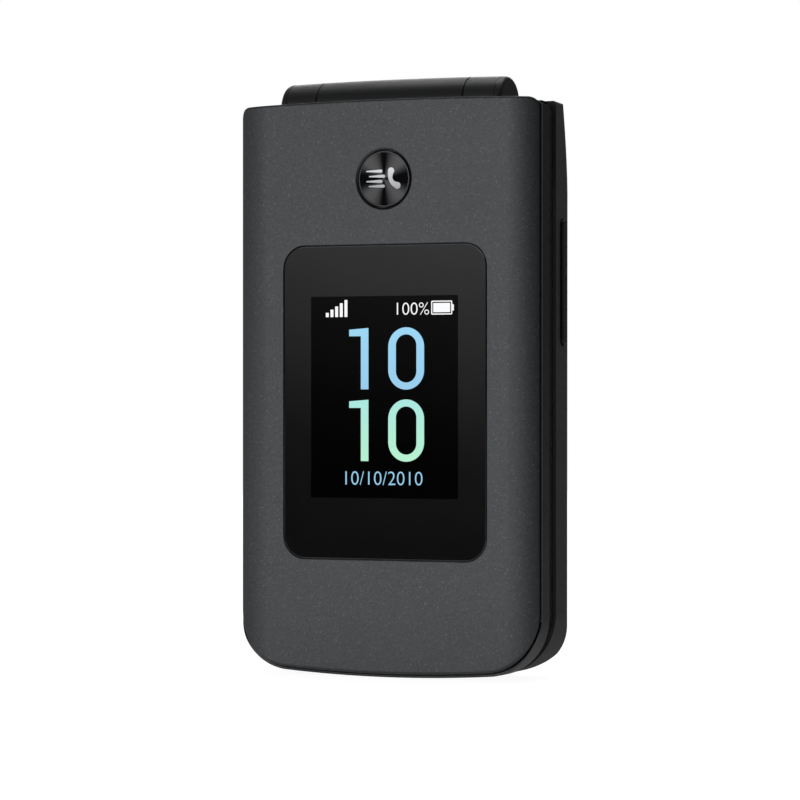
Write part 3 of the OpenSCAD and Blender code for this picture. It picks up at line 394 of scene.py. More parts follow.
def loft(name: str, outline: Outline, steps: Sequence[Step], facing: Facing = Facing.FRONT,
         shaper: Shaper | None = None) -> Piece:
    """Models a solid by extruding an outline step by step.

    Args:
        name: The piece's name.
        outline: Its outline, which each step takes at its own inset.
        steps: Pairs of inset and level, from the first face to the last.
        facing: The side that the piece shows.
        shaper: Moves a point, given its index, its two outline places, the inset and the level.

    Returns:
        The closed solid.
    """
    count = len(outline(steps[0][0]))
    bpy.ops.object.select_all(action="DESELECT")
    bpy.ops.mesh.primitive_circle_add(vertices=count, fill_type="NGON", radius=MM)
    piece = bpy.context.active_object
    piece.name = piece.data.name = name
    station = piece.data.attributes.new("station", "INT", "POINT")
    for index, value in enumerate(station.data):
        value.value = index
    with editing(piece) as mesh:
        bpy.ops.mesh.select_all(action="SELECT")
        for number, (inset, level) in enumerate(steps):
            if number:
                bpy.ops.mesh.extrude_region()
            points = outline(inset)
            layer = mesh.verts.layers.int["station"]
            for vert in mesh.verts:
                if vert.select:
                    u, v = points[vert[layer]]
                    at = shaper(vert[layer], u, v, inset, level) if shaper else (u, v, level)
                    vert.co = place(facing, *at)
            bmesh.update_edit_mesh(piece.data)
        close_up()
    piece.data.attributes.remove(piece.data.attributes["station"])
    return piece


def close_up(distance: float = 2e-7) -> None:
    """Merges doubles and turns all faces outwards, on the piece that is being edited."""
    bpy.ops.mesh.select_all(action="SELECT")
    bpy.ops.mesh.remove_doubles(threshold=distance)
    bpy.ops.mesh.normals_make_consistent(inside=False)


def carve(piece: Piece, *tools: Piece, solver: str = "EXACT") -> Piece:
    """Cuts tools out of a piece, and deletes them.

    Args:
        piece: The piece that is cut.
        tools: The solids that are taken away.
        solver: How Blender works the cut out.

    Returns:
        The piece.
    """
    for tool in tools:
        cut = piece.modifiers.new("carve", "BOOLEAN")
        cut.operation = "DIFFERENCE"
        cut.solver = solver
        cut.object = tool
        activate(piece)
        bpy.ops.object.modifier_apply(modifier=cut.name)
        bpy.data.objects.remove(tool)
    return piece


def join(piece: Piece, *others: Piece) -> Piece:
    """Joins other pieces to a piece, each with its own material.

    Args:
        piece: The piece that stays.
        others: The ones that it takes in.

    Returns:
        The joined piece.
    """
    activate(piece)
    for other in others:
        other.select_set(True)
    bpy.ops.object.join()
    return piece


def shade(piece: Piece, angle: float = 32.0) -> None:
    """Shades round faces smooth and keeps flat faces flat.

    Args:
        piece: The piece.
        angle: Edges that turn by more than this stay sharp, in degrees.
    """
    activate(piece)
    bpy.ops.object.shade_smooth_by_angle(angle=math.radians(angle))
    weighted = piece.modifiers.new("weighted", "WEIGHTED_NORMAL")
    weighted.keep_sharp = True
    bpy.ops.object.modifier_apply(modifier=weighted.name)


def lettering(name: str, words: str, height: float, middle: Point, levels: Step,
              width: float | None = None, thin: float = 0.0) -> Piece:
    """Models plain numerals or signs that face the front.

    Args:
        name: The piece's name.
        words: What is written.
        height: Its height.
        middle: Its middle.
        levels: The places of its back and its front.
        width: Its width, where it isn't the font's own.
        thin: How much thinner each edge of a stroke is, as a share of the font's size.

    Returns:
        The lettering as a mesh.
    """
    bpy.ops.object.select_all(action="DESELECT")
    bpy.ops.object.text_add()
    text = bpy.context.active_object
    text.data.body = words
    text.data.extrude = 1.0
    text.data.offset = -thin
    text.data.resolution_u = 6
    bpy.ops.object.convert(target="MESH")
    piece = bpy.context.active_object
    piece.name = piece.data.name = name
    spots = [v.co.copy() for v in piece.data.vertices]
    low = Vector(min(s[i] for s in spots) for i in range(3))
    high = Vector(max(s[i] for s in spots) for i in range(3))
    v_scale = height / (high.y - low.y)
    u_scale = width / (high.x - low.x) if width else v_scale
    for vert, spot in zip(piece.data.vertices, spots):
        u = middle[0] + (spot.x - (low.x + high.x) / 2) * u_scale
        v = middle[1] + (spot.y - (low.y + high.y) / 2) * v_scale
        vert.co = place(Facing.FRONT, u, v, levels[0] if spot.z < 0 else levels[1])
    with editing(piece):
        close_up()
    return piece


def merged_copy(node: str, name: str) -> Piece:
    """Copies a node's mesh, with the materials that it brings, and merges its loose triangles into flat faces.

    Args:
        node: The node that is copied.
        name: The copy's name.

    Returns:
        The copy.
    """
    piece = bpy.data.objects.new(name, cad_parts[node].data.copy())
    piece.data.name = name
    bpy.context.scene.collection.objects.link(piece)
    activate(piece)
    bpy.ops.mesh.customdata_custom_splitnormals_clear()
    with editing(piece):
        bpy.ops.mesh.select_all(action="SELECT")
        bpy.ops.mesh.remove_doubles(threshold=1e-6)
        bpy.ops.mesh.dissolve_limited(angle_limit=math.radians(0.3))
    return piece


def paint(piece: Piece, base: "Finish", *coats: tuple["Finish", Chooser]) -> None:
    """Gives some faces of a piece a finish of their own.

    Args:
        piece: The piece.
        base: The finish of its other faces.
        coats: Each further finish with what picks its faces; a later one goes over an earlier one.
    """
    piece.data.materials.clear()
    for finish in (base, *(coat for coat, _ in coats)):
        piece.data.materials.append(finish.material())
    for face in piece.data.polygons:
        picked = [i for i, (_, chosen) in enumerate(coats, 1) if chosen(face.center / MM, face.normal)]
        face.material_index = max(picked, default=0)


def hand_over(piece: Piece, finish: "Finish", body: Body | str, slot: str, *nodes: str) -> None:
    """Finishes a piece, lets it ride on its body and reports it.

    Args:
        piece: The piece.
        finish: Its finish, where it brings no material of its own.
        body: The body that it rides on.
        slot: A material slot name; not used.
        nodes: The nodes that it stands for.
    """
    body = body.value if isinstance(body, Body) else body
    if not piece.data.materials:
        piece.data.materials.append(finish.material())
    shade(piece)
    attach(piece, body)
    if nodes:
        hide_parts(*nodes)
    log.info("%s rides on %s, %d faces", piece.name, body, len(piece.data.polygons))


# --- Node trees ---


def tint(red: int, green: int, blue: int) -> tuple[float, float, float, float]:
    """Turns a display colour from 0 to 255 into the linear colour that shaders take.

    Args:
        red: Its red channel.
        green: Its green channel.
        blue: Its blue channel.

    Returns:
        The linear colour, fully opaque.
    """
    def linear(value: int) -> float:
        """Turns one channel into its linear value."""
        share = value / 255
        return share / 12.92 if share <= 0.04045 else ((share + 0.055) / 1.055) ** 2.4
    return (linear(red), linear(green), linear(blue), 1.0)


class Wiring:
    """A node tree, with short calls that add and link its nodes.

    Args:
        tree: The node tree.
    """

    def __init__(self, tree: Tree) -> None:
        """Keeps the node tree."""
        self.tree = tree

    @classmethod
    def of(cls, owner: bpy.types.ID) -> Self:
        """Empties the node tree of a material or world, and gives its wiring."""
        owner.use_nodes = True
        owner.node_tree.nodes.clear()
        return cls(owner.node_tree)

    def finish(self, shader: Node, kind: str = "ShaderNodeOutputMaterial") -> None:
        """Leads a shader to the tree's output."""
        self.add(kind, Surface=shader.outputs[0])

    def add(self, kind: str, settings: dict | None = None, **values: object) -> Node:
        """Adds a node.

        Args:
            kind: The node's type.
            settings: Its own properties.
            values: Its inputs by name, with _ for a space. A socket is linked, anything else is set.

        Returns:
            The node.
        """
        node = self.tree.nodes.new(kind)
        for name, value in (settings or {}).items():
            setattr(node, name, value)
        for name, value in values.items():
            self.feed(node, name.replace("_", " "), value)
        return node

    def feed(self, node: Node, name: str | int, value: object) -> None:
        """Links a socket to a node's input, or sets the input's value.

        Args:
            node: The node.
            name: The input's name or place.
            value: The socket or the value.
        """
        if isinstance(value, Socket):
            self.tree.links.new(value, node.inputs[name])
        else:
            node.inputs[name].default_value = value

    def math(self, operation: str, first: object, second: object = 0.0, third: object = 0.0,
             clamp: bool = False) -> Socket:
        """Adds a Math node and gives its result.

        Args:
            operation: What it does.
            first: Its first value or socket.
            second: Its second one.
            third: Its third one.
            clamp: Whether the result is held between 0 and 1.

        Returns:
            The result's socket.
        """
        node = self.tree.nodes.new("ShaderNodeMath")
        node.operation = operation
        node.use_clamp = clamp
        for index, value in enumerate((first, second, third)):
            self.feed(node, index, value)
        return node.outputs[0]

    def span(self, value: object, low: float, high: float, to_low: float = 0.0,
             to_high: float = 1.0) -> Socket:
        """Maps a value from one span to another, clamped, and gives the result.

        Args:
            value: The value or socket.
            low: Where the first span starts.
            high: Where it ends.
            to_low: Where the second span starts.
            to_high: Where it ends.

        Returns:
            The result's socket.
        """
        node = self.add("ShaderNodeMapRange", Value=value, From_Min=low, From_Max=high, To_Min=to_low,
                        To_Max=to_high)
        return node.outputs["Result"]

    def blend(self, factor: object, first: object, second: object, how: str = "MIX") -> Socket:
        """Mixes two colours and gives the result.

        Args:
            factor: Share of the second colour.
            first: The first colour.
            second: The second one.
            how: How they are mixed.

        Returns:
            The result's socket.
        """
        node = self.tree.nodes.new("ShaderNodeMix")
        node.data_type = "RGBA"
        node.blend_type = how
        for index, value in ((0, factor), (6, first), (7, second)):
            self.feed(node, index, value)
        return node.outputs[2]


@dataclass(frozen=True)
class Effect:
    """A shared surface effect, built once as a node group.

    Args:
        name: The group's name.
        inputs: Its inputs and their values. Each also has a Place input, the object coordinates.
        outputs: The names of its outputs.
        wire: Wires the group, from the group's input and output nodes.
    """

    name: str
    inputs: tuple[tuple[str, float], ...]
    outputs: tuple[str, ...]
    wire: Callable[[Wiring, Node, Node], None]

    def tree(self) -> Tree:
        """Gives the node group, and builds it at its first use."""
        if self.name in bpy.data.node_groups:
            return bpy.data.node_groups[self.name]
        tree = bpy.data.node_groups.new(self.name, "ShaderNodeTree")
        tree.interface.new_socket("Place", in_out="INPUT", socket_type="NodeSocketVector")
        for name, value in self.inputs:
            socket = tree.interface.new_socket(name, in_out="INPUT", socket_type="NodeSocketFloat")
            socket.default_value = value
        for name in self.outputs:
            tree.interface.new_socket(name, in_out="OUTPUT", socket_type="NodeSocketFloat")
        wiring = Wiring(tree)
        self.wire(wiring, wiring.add("NodeGroupInput"), wiring.add("NodeGroupOutput"))
        return tree


def _wire_grain(wiring: Wiring, source: Node, sink: Node) -> None:
    """Wires the fine spark-eroded grain of moulded plastic.

    Args:
        wiring: The group's tree.
        source: The node with its inputs.
        sink: The node with its outputs.
    """
    scale = wiring.math("DIVIDE", 1.0 / MM, source.outputs["Size"])
    fine = wiring.add("ShaderNodeTexNoise", Vector=source.outputs["Place"], Scale=scale, Detail=2.0,
                      Roughness=0.6)
    cells = wiring.add("ShaderNodeTexVoronoi", Vector=source.outputs["Place"], Scale=scale)
    height = wiring.math("ADD", fine.outputs["Fac"], wiring.math("MULTIPLY", cells.outputs["Distance"], 0.4))
    wiring.feed(sink, "Height", height)
    wiring.feed(sink, "Mask", wiring.span(fine.outputs["Fac"], 0.35, 0.65))


def _wire_sparkle(wiring: Wiring, source: Node, sink: Node) -> None:
    """Wires the metal flakes of a lacquer: a brightness around 1 and the mask of the brightest flakes.

    Args:
        wiring: The group's tree.
        source: The node with its inputs.
        sink: The node with its outputs.
    """
    scale = wiring.math("DIVIDE", 1.0 / MM, source.outputs["Size"])
    cells = wiring.add("ShaderNodeTexVoronoi", Vector=source.outputs["Place"], Scale=scale)
    shade_of = wiring.add("ShaderNodeSeparateColor", Color=cells.outputs["Color"])
    centred = wiring.math("SUBTRACT", shade_of.outputs["Red"], 0.5)
    wiring.feed(sink, "Brightness", wiring.math("MULTIPLY_ADD", centred, source.outputs["Amount"], 1.0))
    wiring.feed(sink, "Flakes", wiring.span(shade_of.outputs["Green"], 0.93, 1.0))
    wiring.feed(sink, "Height", shade_of.outputs["Blue"])


def _wire_smudge(wiring: Wiring, source: Node, sink: Node) -> None:
    """Wires the soft smears and fine rubbing marks of a handled surface.

    Args:
        wiring: The group's tree.
        source: The node with its inputs.
        sink: The node with its outputs.
    """
    scale = wiring.math("DIVIDE", 1.0 / MM, source.outputs["Size"])
    smear = wiring.add("ShaderNodeTexNoise", Vector=source.outputs["Place"], Scale=scale, Detail=4.0,
                       Roughness=0.7, Distortion=0.8)
    mask = wiring.span(smear.outputs["Fac"], 0.4, 0.75)
    wiring.feed(sink, "Mask", wiring.math("MULTIPLY", mask, source.outputs["Amount"]))


def _wire_brush(wiring: Wiring, source: Node, sink: Node) -> None:
    """Wires the long streaks of rolled or brushed metal, which run along X.

    Args:
        wiring: The group's tree.
        source: The node with its inputs.
        sink: The node with its outputs.
    """
    scale = wiring.math("DIVIDE", 1.0 / MM, source.outputs["Size"])
    stretch = wiring.add("ShaderNodeMapping", Vector=source.outputs["Place"], Scale=(0.04, 1.0, 1.0))
    streak = wiring.add("ShaderNodeTexNoise", Vector=stretch.outputs[0], Scale=scale, Detail=3.0,
                        Roughness=0.65)
    wiring.feed(sink, "Height", streak.outputs["Fac"])
    wiring.feed(sink, "Mask", wiring.span(streak.outputs["Fac"], 0.3, 0.7))


GRAIN = Effect("Moulded grain", (("Size", 0.12),), ("Height", "Mask"), _wire_grain)
SPARKLE = Effect("Lacquer sparkle", (("Size", 0.2), ("Amount", 0.3)), ("Brightness", "Flakes", "Height"),
                 _wire_sparkle)
SMUDGE = Effect("Handling smears", (("Size", 14.0), ("Amount", 0.1)), ("Mask",), _wire_smudge)
BRUSH = Effect("Brushed streaks", (("Size", 0.15),), ("Height", "Mask"), _wire_brush)


# --- Finishes ---


class Coating(Wiring):
    """The node tree of a finish, with its shader and the object coordinates that it reads.

    Args:
        tree: The material's tree.
    """

    def __init__(self, tree: Tree) -> None:
        """Adds the coordinates and the shader."""
        super().__init__(tree)
        self.where = self.add("ShaderNodeTexCoord").outputs["Object"]
        self.shader = self.add("ShaderNodeBsdfPrincipled")

    def effect(self, effect: Effect, **values: object) -> Node:
        """Places a shared effect, with its inputs by name."""
        return self.add("ShaderNodeGroup", {"node_tree": effect.tree()}, Place=self.where, **values)

    def lay(self, colour: object, rough: object, height: Socket | None = None, relief: float = 0.0) -> None:
        """Feeds the shader.

        Args:
            colour: Its colour.
            rough: Its roughness.
            height: Its relief.
            relief: Depth of that relief, in millimetres.
        """
        self.feed(self.shader, "Base Color", colour)
        self.feed(self.shader, "Roughness", rough)
        if height is not None:
            bump = self.add("ShaderNodeBump", Strength=1.0, Distance=relief * MM, Height=height)
            self.feed(self.shader, "Normal", bump.outputs[0])


@dataclass(frozen=True)
class Finish:
    """A finish of moulded plastic, rubber or film, and the ground for the others.

    Args:
        name: The material's name.
        colour: Its display colour.
        roughness: Its roughness.
        metallic: How metallic it is.
        specular: Its specular level.
        coat: Weight of its clear coat.
        coat_roughness: Roughness of that coat.
        grain: Size of its grain.
        relief: Depth of its grain.
        smear: How strong its handling smears are.
    """

    name: str
    colour: Colour
    roughness: float = 0.45
    metallic: float = 0.0
    specular: float = 0.5
    coat: float = 0.0
    coat_roughness: float = 0.05
    grain: float = 0.14
    relief: float = 0.004
    smear: float = 0.08

    def material(self) -> bpy.types.Material:
        """Gives the material, and builds it at its first use."""
        if self.name in bpy.data.materials:
            return bpy.data.materials[self.name]
        material = bpy.data.materials.new(self.name)
        wiring = Coating.of(material)
        sockets = {"Metallic": self.metallic, "Specular IOR Level": self.specular, "Coat Weight": self.coat,
                   "Coat Roughness": self.coat_roughness}
        for name, value in sockets.items():
            wiring.shader.inputs[name].default_value = value
        self.dress(wiring)
        wiring.finish(wiring.shader)
        return material

    def dress(self, wiring: Coating) -> None:
        """Wires the finish's colour, roughness and relief.

        Args:
            wiring: The material's tree.
        """
        grain = wiring.effect(GRAIN, Size=self.grain)
        smudge = wiring.effect(SMUDGE, Amount=self.smear)
        base = tint(*self.colour)
        paler = tuple(min(c * 1.25, 1.0) for c in base[:3]) + (1.0,)
        colour = wiring.blend(wiring.math("MULTIPLY", grain.outputs["Mask"], 0.5), base, paler)
        rough = wiring.math("MULTIPLY_ADD", grain.outputs["Mask"], 0.05, self.roughness)
        rough = wiring.math("ADD", rough, smudge.outputs["Mask"], clamp=True)
        wiring.lay(colour, rough, grain.outputs["Height"], self.relief)


@dataclass(frozen=True)
class FlakeLacquer(Finish):
    """Lacquer with fine metal flakes under a clear coat.

    Args:
        flake: Size of a flake.
        spread: How far the flakes' brightness spreads.
    """

    flake: float = 0.22
    spread: float = 0.5

    def dress(self, wiring: Coating) -> None:
        """Wires the flakes' brightness, a few bright ones and their relief.

        Args:
            wiring: The material's tree.
        """
        sparkle = wiring.effect(SPARKLE, Size=self.flake, Amount=self.spread)
        finer = wiring.effect(SPARKLE, Size=self.flake / 2.3, Amount=self.spread)
        smudge = wiring.effect(SMUDGE, Amount=self.smear)
        both = wiring.math("MULTIPLY", sparkle.outputs["Brightness"], finer.outputs["Brightness"])
        lit = wiring.math("MULTIPLY_ADD", sparkle.outputs["Flakes"], 0.6, both)
        grey = wiring.add("ShaderNodeCombineColor", Red=lit, Green=lit, Blue=lit)
        colour = wiring.blend(1.0, tint(*self.colour), grey.outputs[0], "MULTIPLY")
        rough = wiring.math("MULTIPLY_ADD", smudge.outputs["Mask"], 0.5, self.roughness)
        wiring.lay(colour, rough, sparkle.outputs["Height"], self.relief)


@dataclass(frozen=True)
class Gloss(Finish):
    """Polished window plastic or glass that hides what is behind it.

    Args:
        sheen_colour: Display colour that soft smears bring out.
    """

    sheen_colour: Colour = (20, 21, 22)

    def dress(self, wiring: Coating) -> None:
        """Wires faint smears on a polished surface.

        Args:
            wiring: The material's tree.
        """
        smudge = wiring.effect(SMUDGE, Amount=self.smear)
        mask = smudge.outputs["Mask"]
        colour = wiring.blend(mask, tint(*self.colour), tint(*self.sheen_colour))
        wiring.lay(colour, wiring.math("MULTIPLY_ADD", mask, 0.25, self.roughness))


@dataclass(frozen=True)
class SpunMetal(Finish):
    """Dark metal that was turned on a lathe, with rings and a fan of painted highlight sectors between dark
    ones.

    Args:
        middle: The middle of the rings, in X and Z.
        ring: Distance between rings.
        rim_r: Radius at which the pale rim starts.
        pale: Display colour of the painted highlight sectors, which the rim also takes.
    """

    middle: Point = (0.0, 0.0)
    ring: float = 0.16
    rim_r: float = 4.6
    pale: Colour = (62, 62, 63)

    def dress(self, wiring: Coating) -> None:
        """Wires the rings and the painted highlight sectors around the middle.

        Args:
            wiring: The material's tree.
        """
        at = (-self.middle[0] * MM, 0.0, -self.middle[1] * MM)
        centred = wiring.add("ShaderNodeMapping", Vector=wiring.where, Location=at)
        axes = wiring.add("ShaderNodeSeparateXYZ", Vector=centred.outputs[0])
        x, z = axes.outputs["X"], axes.outputs["Z"]
        squares = wiring.math("ADD", wiring.math("MULTIPLY", x, x), wiring.math("MULTIPLY", z, z))
        radius = wiring.math("SQRT", squares)
        angle = wiring.math("ARCTAN2", z, x)
        noise_at = wiring.add("ShaderNodeCombineXYZ", X=wiring.math("MULTIPLY", radius, 1.0 / (self.ring * MM)))
        rings = wiring.add("ShaderNodeTexNoise", Vector=noise_at.outputs[0], Scale=1.0, Detail=2.0)
        # The bright sectors are a painted highlight: the fan of reflections that a turned face shows is fixed in
        # the colour by angle.
        across = wiring.math("ABSOLUTE", wiring.math("SINE", wiring.math("MULTIPLY", angle, 2.0)))
        upright = wiring.math("ABSOLUTE", wiring.math("SINE", angle))
        painted_highlight_fan = wiring.math("MULTIPLY", wiring.span(across, 0.2, 1.0), wiring.span(upright, 0.2, 0.6))
        mixed = wiring.math("MULTIPLY", painted_highlight_fan, wiring.math("MULTIPLY_ADD", rings.outputs["Fac"], 0.5, 0.75))
        rim = wiring.span(radius, (self.rim_r - 0.03) * MM, self.rim_r * MM, 0.0, 0.7)
        mixed = wiring.math("MAXIMUM", mixed, rim)
        colour = wiring.blend(mixed, tint(*self.colour), tint(*self.pale))
        rough = wiring.math("MULTIPLY_ADD", rings.outputs["Fac"], 0.1, self.roughness)
        wiring.lay(colour, rough, rings.outputs["Fac"], self.relief)


@dataclass(frozen=True)
class LitInk(Finish):
    """A glowing shape, such as one on a lit screen, which fades from one colour to another over its height.

    Args:
        head_colour: Display colour at the head.
        foot_z: Height at which the fade starts.
        head_z: Height at which it ends.
        glow: Strength of its light.
    """

    head_colour: Colour = (255, 255, 255)
    foot_z: float = 0.0
    head_z: float = 1.0
    glow: float = 1.0

    def dress(self, wiring: Coating) -> None:
        """Wires the fade into the light, over a black ground.

        Args:
            wiring: The material's tree.
        """
        axes = wiring.add("ShaderNodeSeparateXYZ", Vector=wiring.where)
        rise = wiring.span(axes.outputs["Z"], self.foot_z * MM, self.head_z * MM)
        colour = wiring.blend(rise, tint(*self.colour), tint(*self.head_colour))
        wiring.feed(wiring.shader, "Emission Color", colour)
        wiring.shader.inputs["Emission Strength"].default_value = self.glow
        wiring.lay(BLACK, self.roughness)


@dataclass(frozen=True)
class Brushed(Finish):
    """Rolled, turned or brushed metal with fine streaks."""

    def dress(self, wiring: Coating) -> None:
        """Wires the streaks into colour, roughness and relief.

        Args:
            wiring: The material's tree.
        """
        streaks = wiring.effect(BRUSH, Size=self.grain)
        smudge = wiring.effect(SMUDGE, Amount=self.smear, Size=5.0)
        base = tint(*self.colour)
        darker = tuple(c * 0.75 for c in base[:3]) + (1.0,)
        colour = wiring.blend(streaks.outputs["Mask"], darker, base)
        rough = wiring.math("MULTIPLY_ADD", streaks.outputs["Mask"], 0.1, self.roughness)
        rough = wiring.math("ADD", rough, smudge.outputs["Mask"])
        wiring.lay(colour, rough, streaks.outputs["Height"], self.relief)


@dataclass(frozen=True)
class CircuitBoard(Finish):
    """Solder mask over copper, with tracks and pads.

    Args:
        pad_colour: Display colour of the tinned pads.
    """

    pad_colour: Colour = (176, 178, 170)

    def dress(self, wiring: Coating) -> None:
        """Wires rectangular copper areas, tracks and small pads.

        Args:
            wiring: The material's tree.
        """
        flat = wiring.add("ShaderNodeMapping", Vector=wiring.where, Rotation=(math.pi / 2, 0.0, 0.0))
        tracks = wiring.add("ShaderNodeTexVoronoi", {"distance": "CHEBYCHEV"}, Vector=flat.outputs[0],
                            Scale=420.0)
        pads = wiring.add("ShaderNodeTexBrick", Vector=flat.outputs[0], Scale=260.0, Mortar_Size=0.3)
        edge = wiring.span(tracks.outputs["Distance"], 0.38, 0.42)
        base = tint(*self.colour)
        copper = tuple(min(c * 1.7, 1.0) for c in base[:3]) + (1.0,)
        mask = wiring.blend(edge, base, copper)
        pad = wiring.math("MULTIPLY", wiring.math("SUBTRACT", 1.0, pads.outputs["Fac"]),
                          wiring.span(tracks.outputs["Distance"], 0.1, 0.05))
        wiring.feed(wiring.shader, "Metallic", wiring.math("MULTIPLY", pad, 0.9))
        wiring.lay(wiring.blend(pad, mask, tint(*self.pad_colour)), self.roughness, edge, self.relief)


@dataclass(frozen=True)
class Mesh(Finish):
    """A woven or pierced grille over a sound opening.

    Args:
        pitch: Distance between the holes.
    """

    pitch: float = 0.35

    def dress(self, wiring: Coating) -> None:
        """Wires a grid of round holes painted black, as painted shade in the openings.

        Args:
            wiring: The material's tree.
        """
        turn = 1.0 / (self.pitch * MM) * 2 * math.pi
        axes = wiring.add("ShaderNodeSeparateXYZ", Vector=wiring.where)
        waves = [wiring.math("SINE", wiring.math("MULTIPLY", axes.outputs[a], turn)) for a in "XZ"]
        grid = wiring.math("MULTIPLY", waves[0], waves[1])
        # The holes are painted black: painted shade where the openings would show the dark inside.
        hole = wiring.span(wiring.math("ABSOLUTE", grid), 0.35, 0.6)
        colour = wiring.blend(hole, tint(*self.colour), BLACK)
        rough = wiring.math("MULTIPLY_ADD", hole, 0.4, self.roughness)
        wiring.lay(colour, rough, wiring.math("SUBTRACT", 1.0, hole), self.relief)


COVER_LACQUER = FlakeLacquer("Charcoal flake lacquer", (73, 75, 77), roughness=0.53, metallic=0.9, coat=0.06,
                             coat_roughness=0.3, relief=0.0015, smear=0.04, spread=0.21)
BLACK_SATIN = Finish("Black satin plastic", (18, 19, 20), roughness=0.38, specular=0.4, relief=0.002)
BARREL_SATIN = Finish("Barrel satin plastic", (25, 26, 27), roughness=0.4, specular=0.6, relief=0.001)
# A pale satin that paints the highlight line on the band's rounded front edge.
PAINTED_EDGE_HIGHLIGHT = Finish("Painted edge highlight", (84, 85, 87), roughness=0.3, specular=0.5, relief=0.001)
# Near-black used as painted shade on grooves, gaps and walls that lie in shade.
PAINTED_SHADE_PLASTIC = Finish("Painted gap shade", (7, 7, 8), roughness=0.7, specular=0.1)
KEYPAD_PLASTIC = Finish("Keypad face plastic", (15, 15, 16), roughness=0.45, specular=0.3)
REAR_PLASTIC = Finish("Rear housing plastic", (18, 19, 20), roughness=0.42, specular=0.4, relief=0.003)
WINDOW_GLOSS = Gloss("Smoked window", (12, 12, 13), roughness=0.06, specular=0.55, smear=0.03)
SCREEN_GLOSS = Gloss("Outer screen", (0, 0, 0), roughness=0.06, specular=0.13, smear=0.02)
LENS_GLOSS = Gloss("Screen lens", (8, 9, 11), roughness=0.04, specular=0.5, smear=0.04)
BUTTON_METAL = SpunMetal("Spun dark metal", (6, 6, 7), roughness=0.32, metallic=1.0, relief=0.003,
                         middle=(0.0, NodeBox("quick_call_button").middle.z))
KEY_PLASTIC = Finish("Key cap plastic", (40, 41, 44), roughness=0.3, coat=0.35, coat_roughness=0.12,
                     relief=0.001)
KEY_PRINT = Finish("Key print", (212, 216, 222), roughness=0.5, relief=0.001)
RING_METAL = Brushed("Navigation ring metal", (128, 130, 134), roughness=0.3, metallic=0.85, relief=0.001)
CALL_INK = Finish("Green print", (58, 190, 92), roughness=0.45, relief=0.001)
END_INK = Finish("Red print", (214, 58, 48), roughness=0.45, relief=0.001)
RUBBER = Finish("Black rubber", (16, 16, 17), roughness=0.75, specular=0.25, grain=0.3, relief=0.008)
MAT_RUBBER = Finish("Grey key mat rubber", (96, 104, 110), roughness=0.7, specular=0.3, grain=0.4, relief=0.006)
DOME_FILM = Finish("Dome sheet film", (196, 190, 172), roughness=0.35, grain=0.6, relief=0.002)
BOARD = CircuitBoard("Green circuit board", (18, 74, 46), roughness=0.35, relief=0.006)
TINNED = Brushed("Tinned sheet", (182, 184, 188), roughness=0.32, metallic=1.0, relief=0.002)
HINGE_STEEL = Brushed("Hinge steel", (150, 152, 156), roughness=0.28, metallic=1.0, relief=0.0015)
SCREW_STEEL = Brushed("Blackened screw steel", (64, 65, 68), roughness=0.35, metallic=1.0, relief=0.0015)
SPRING_STEEL = Brushed("Spring steel", (120, 118, 116), roughness=0.25, metallic=1.0, relief=0.001)
BUSHING = Finish("Cream bushing plastic", (214, 208, 192), roughness=0.4, grain=0.3)
FLEX_FILM = Brushed("Amber flex film", (176, 104, 34), roughness=0.3, grain=0.5, relief=0.002)
MODULE = Finish("Black module", (22, 23, 25), roughness=0.4, grain=0.2)
GRILLE = Mesh("Pierced grille", (70, 72, 76), roughness=0.35, metallic=0.8, relief=0.03)
BATTERY_WRAP = Finish("Battery wrap", (46, 48, 52), roughness=0.38, grain=0.5, relief=0.002)
GOLD = Brushed("Contact gold", (212, 168, 84), roughness=0.25, metallic=1.0, relief=0.001)
FLASH_LENS = Finish("Frosted flash lens", (232, 230, 214), roughness=0.25, coat=0.6, grain=0.25, relief=0.02)


# --- Lid ---


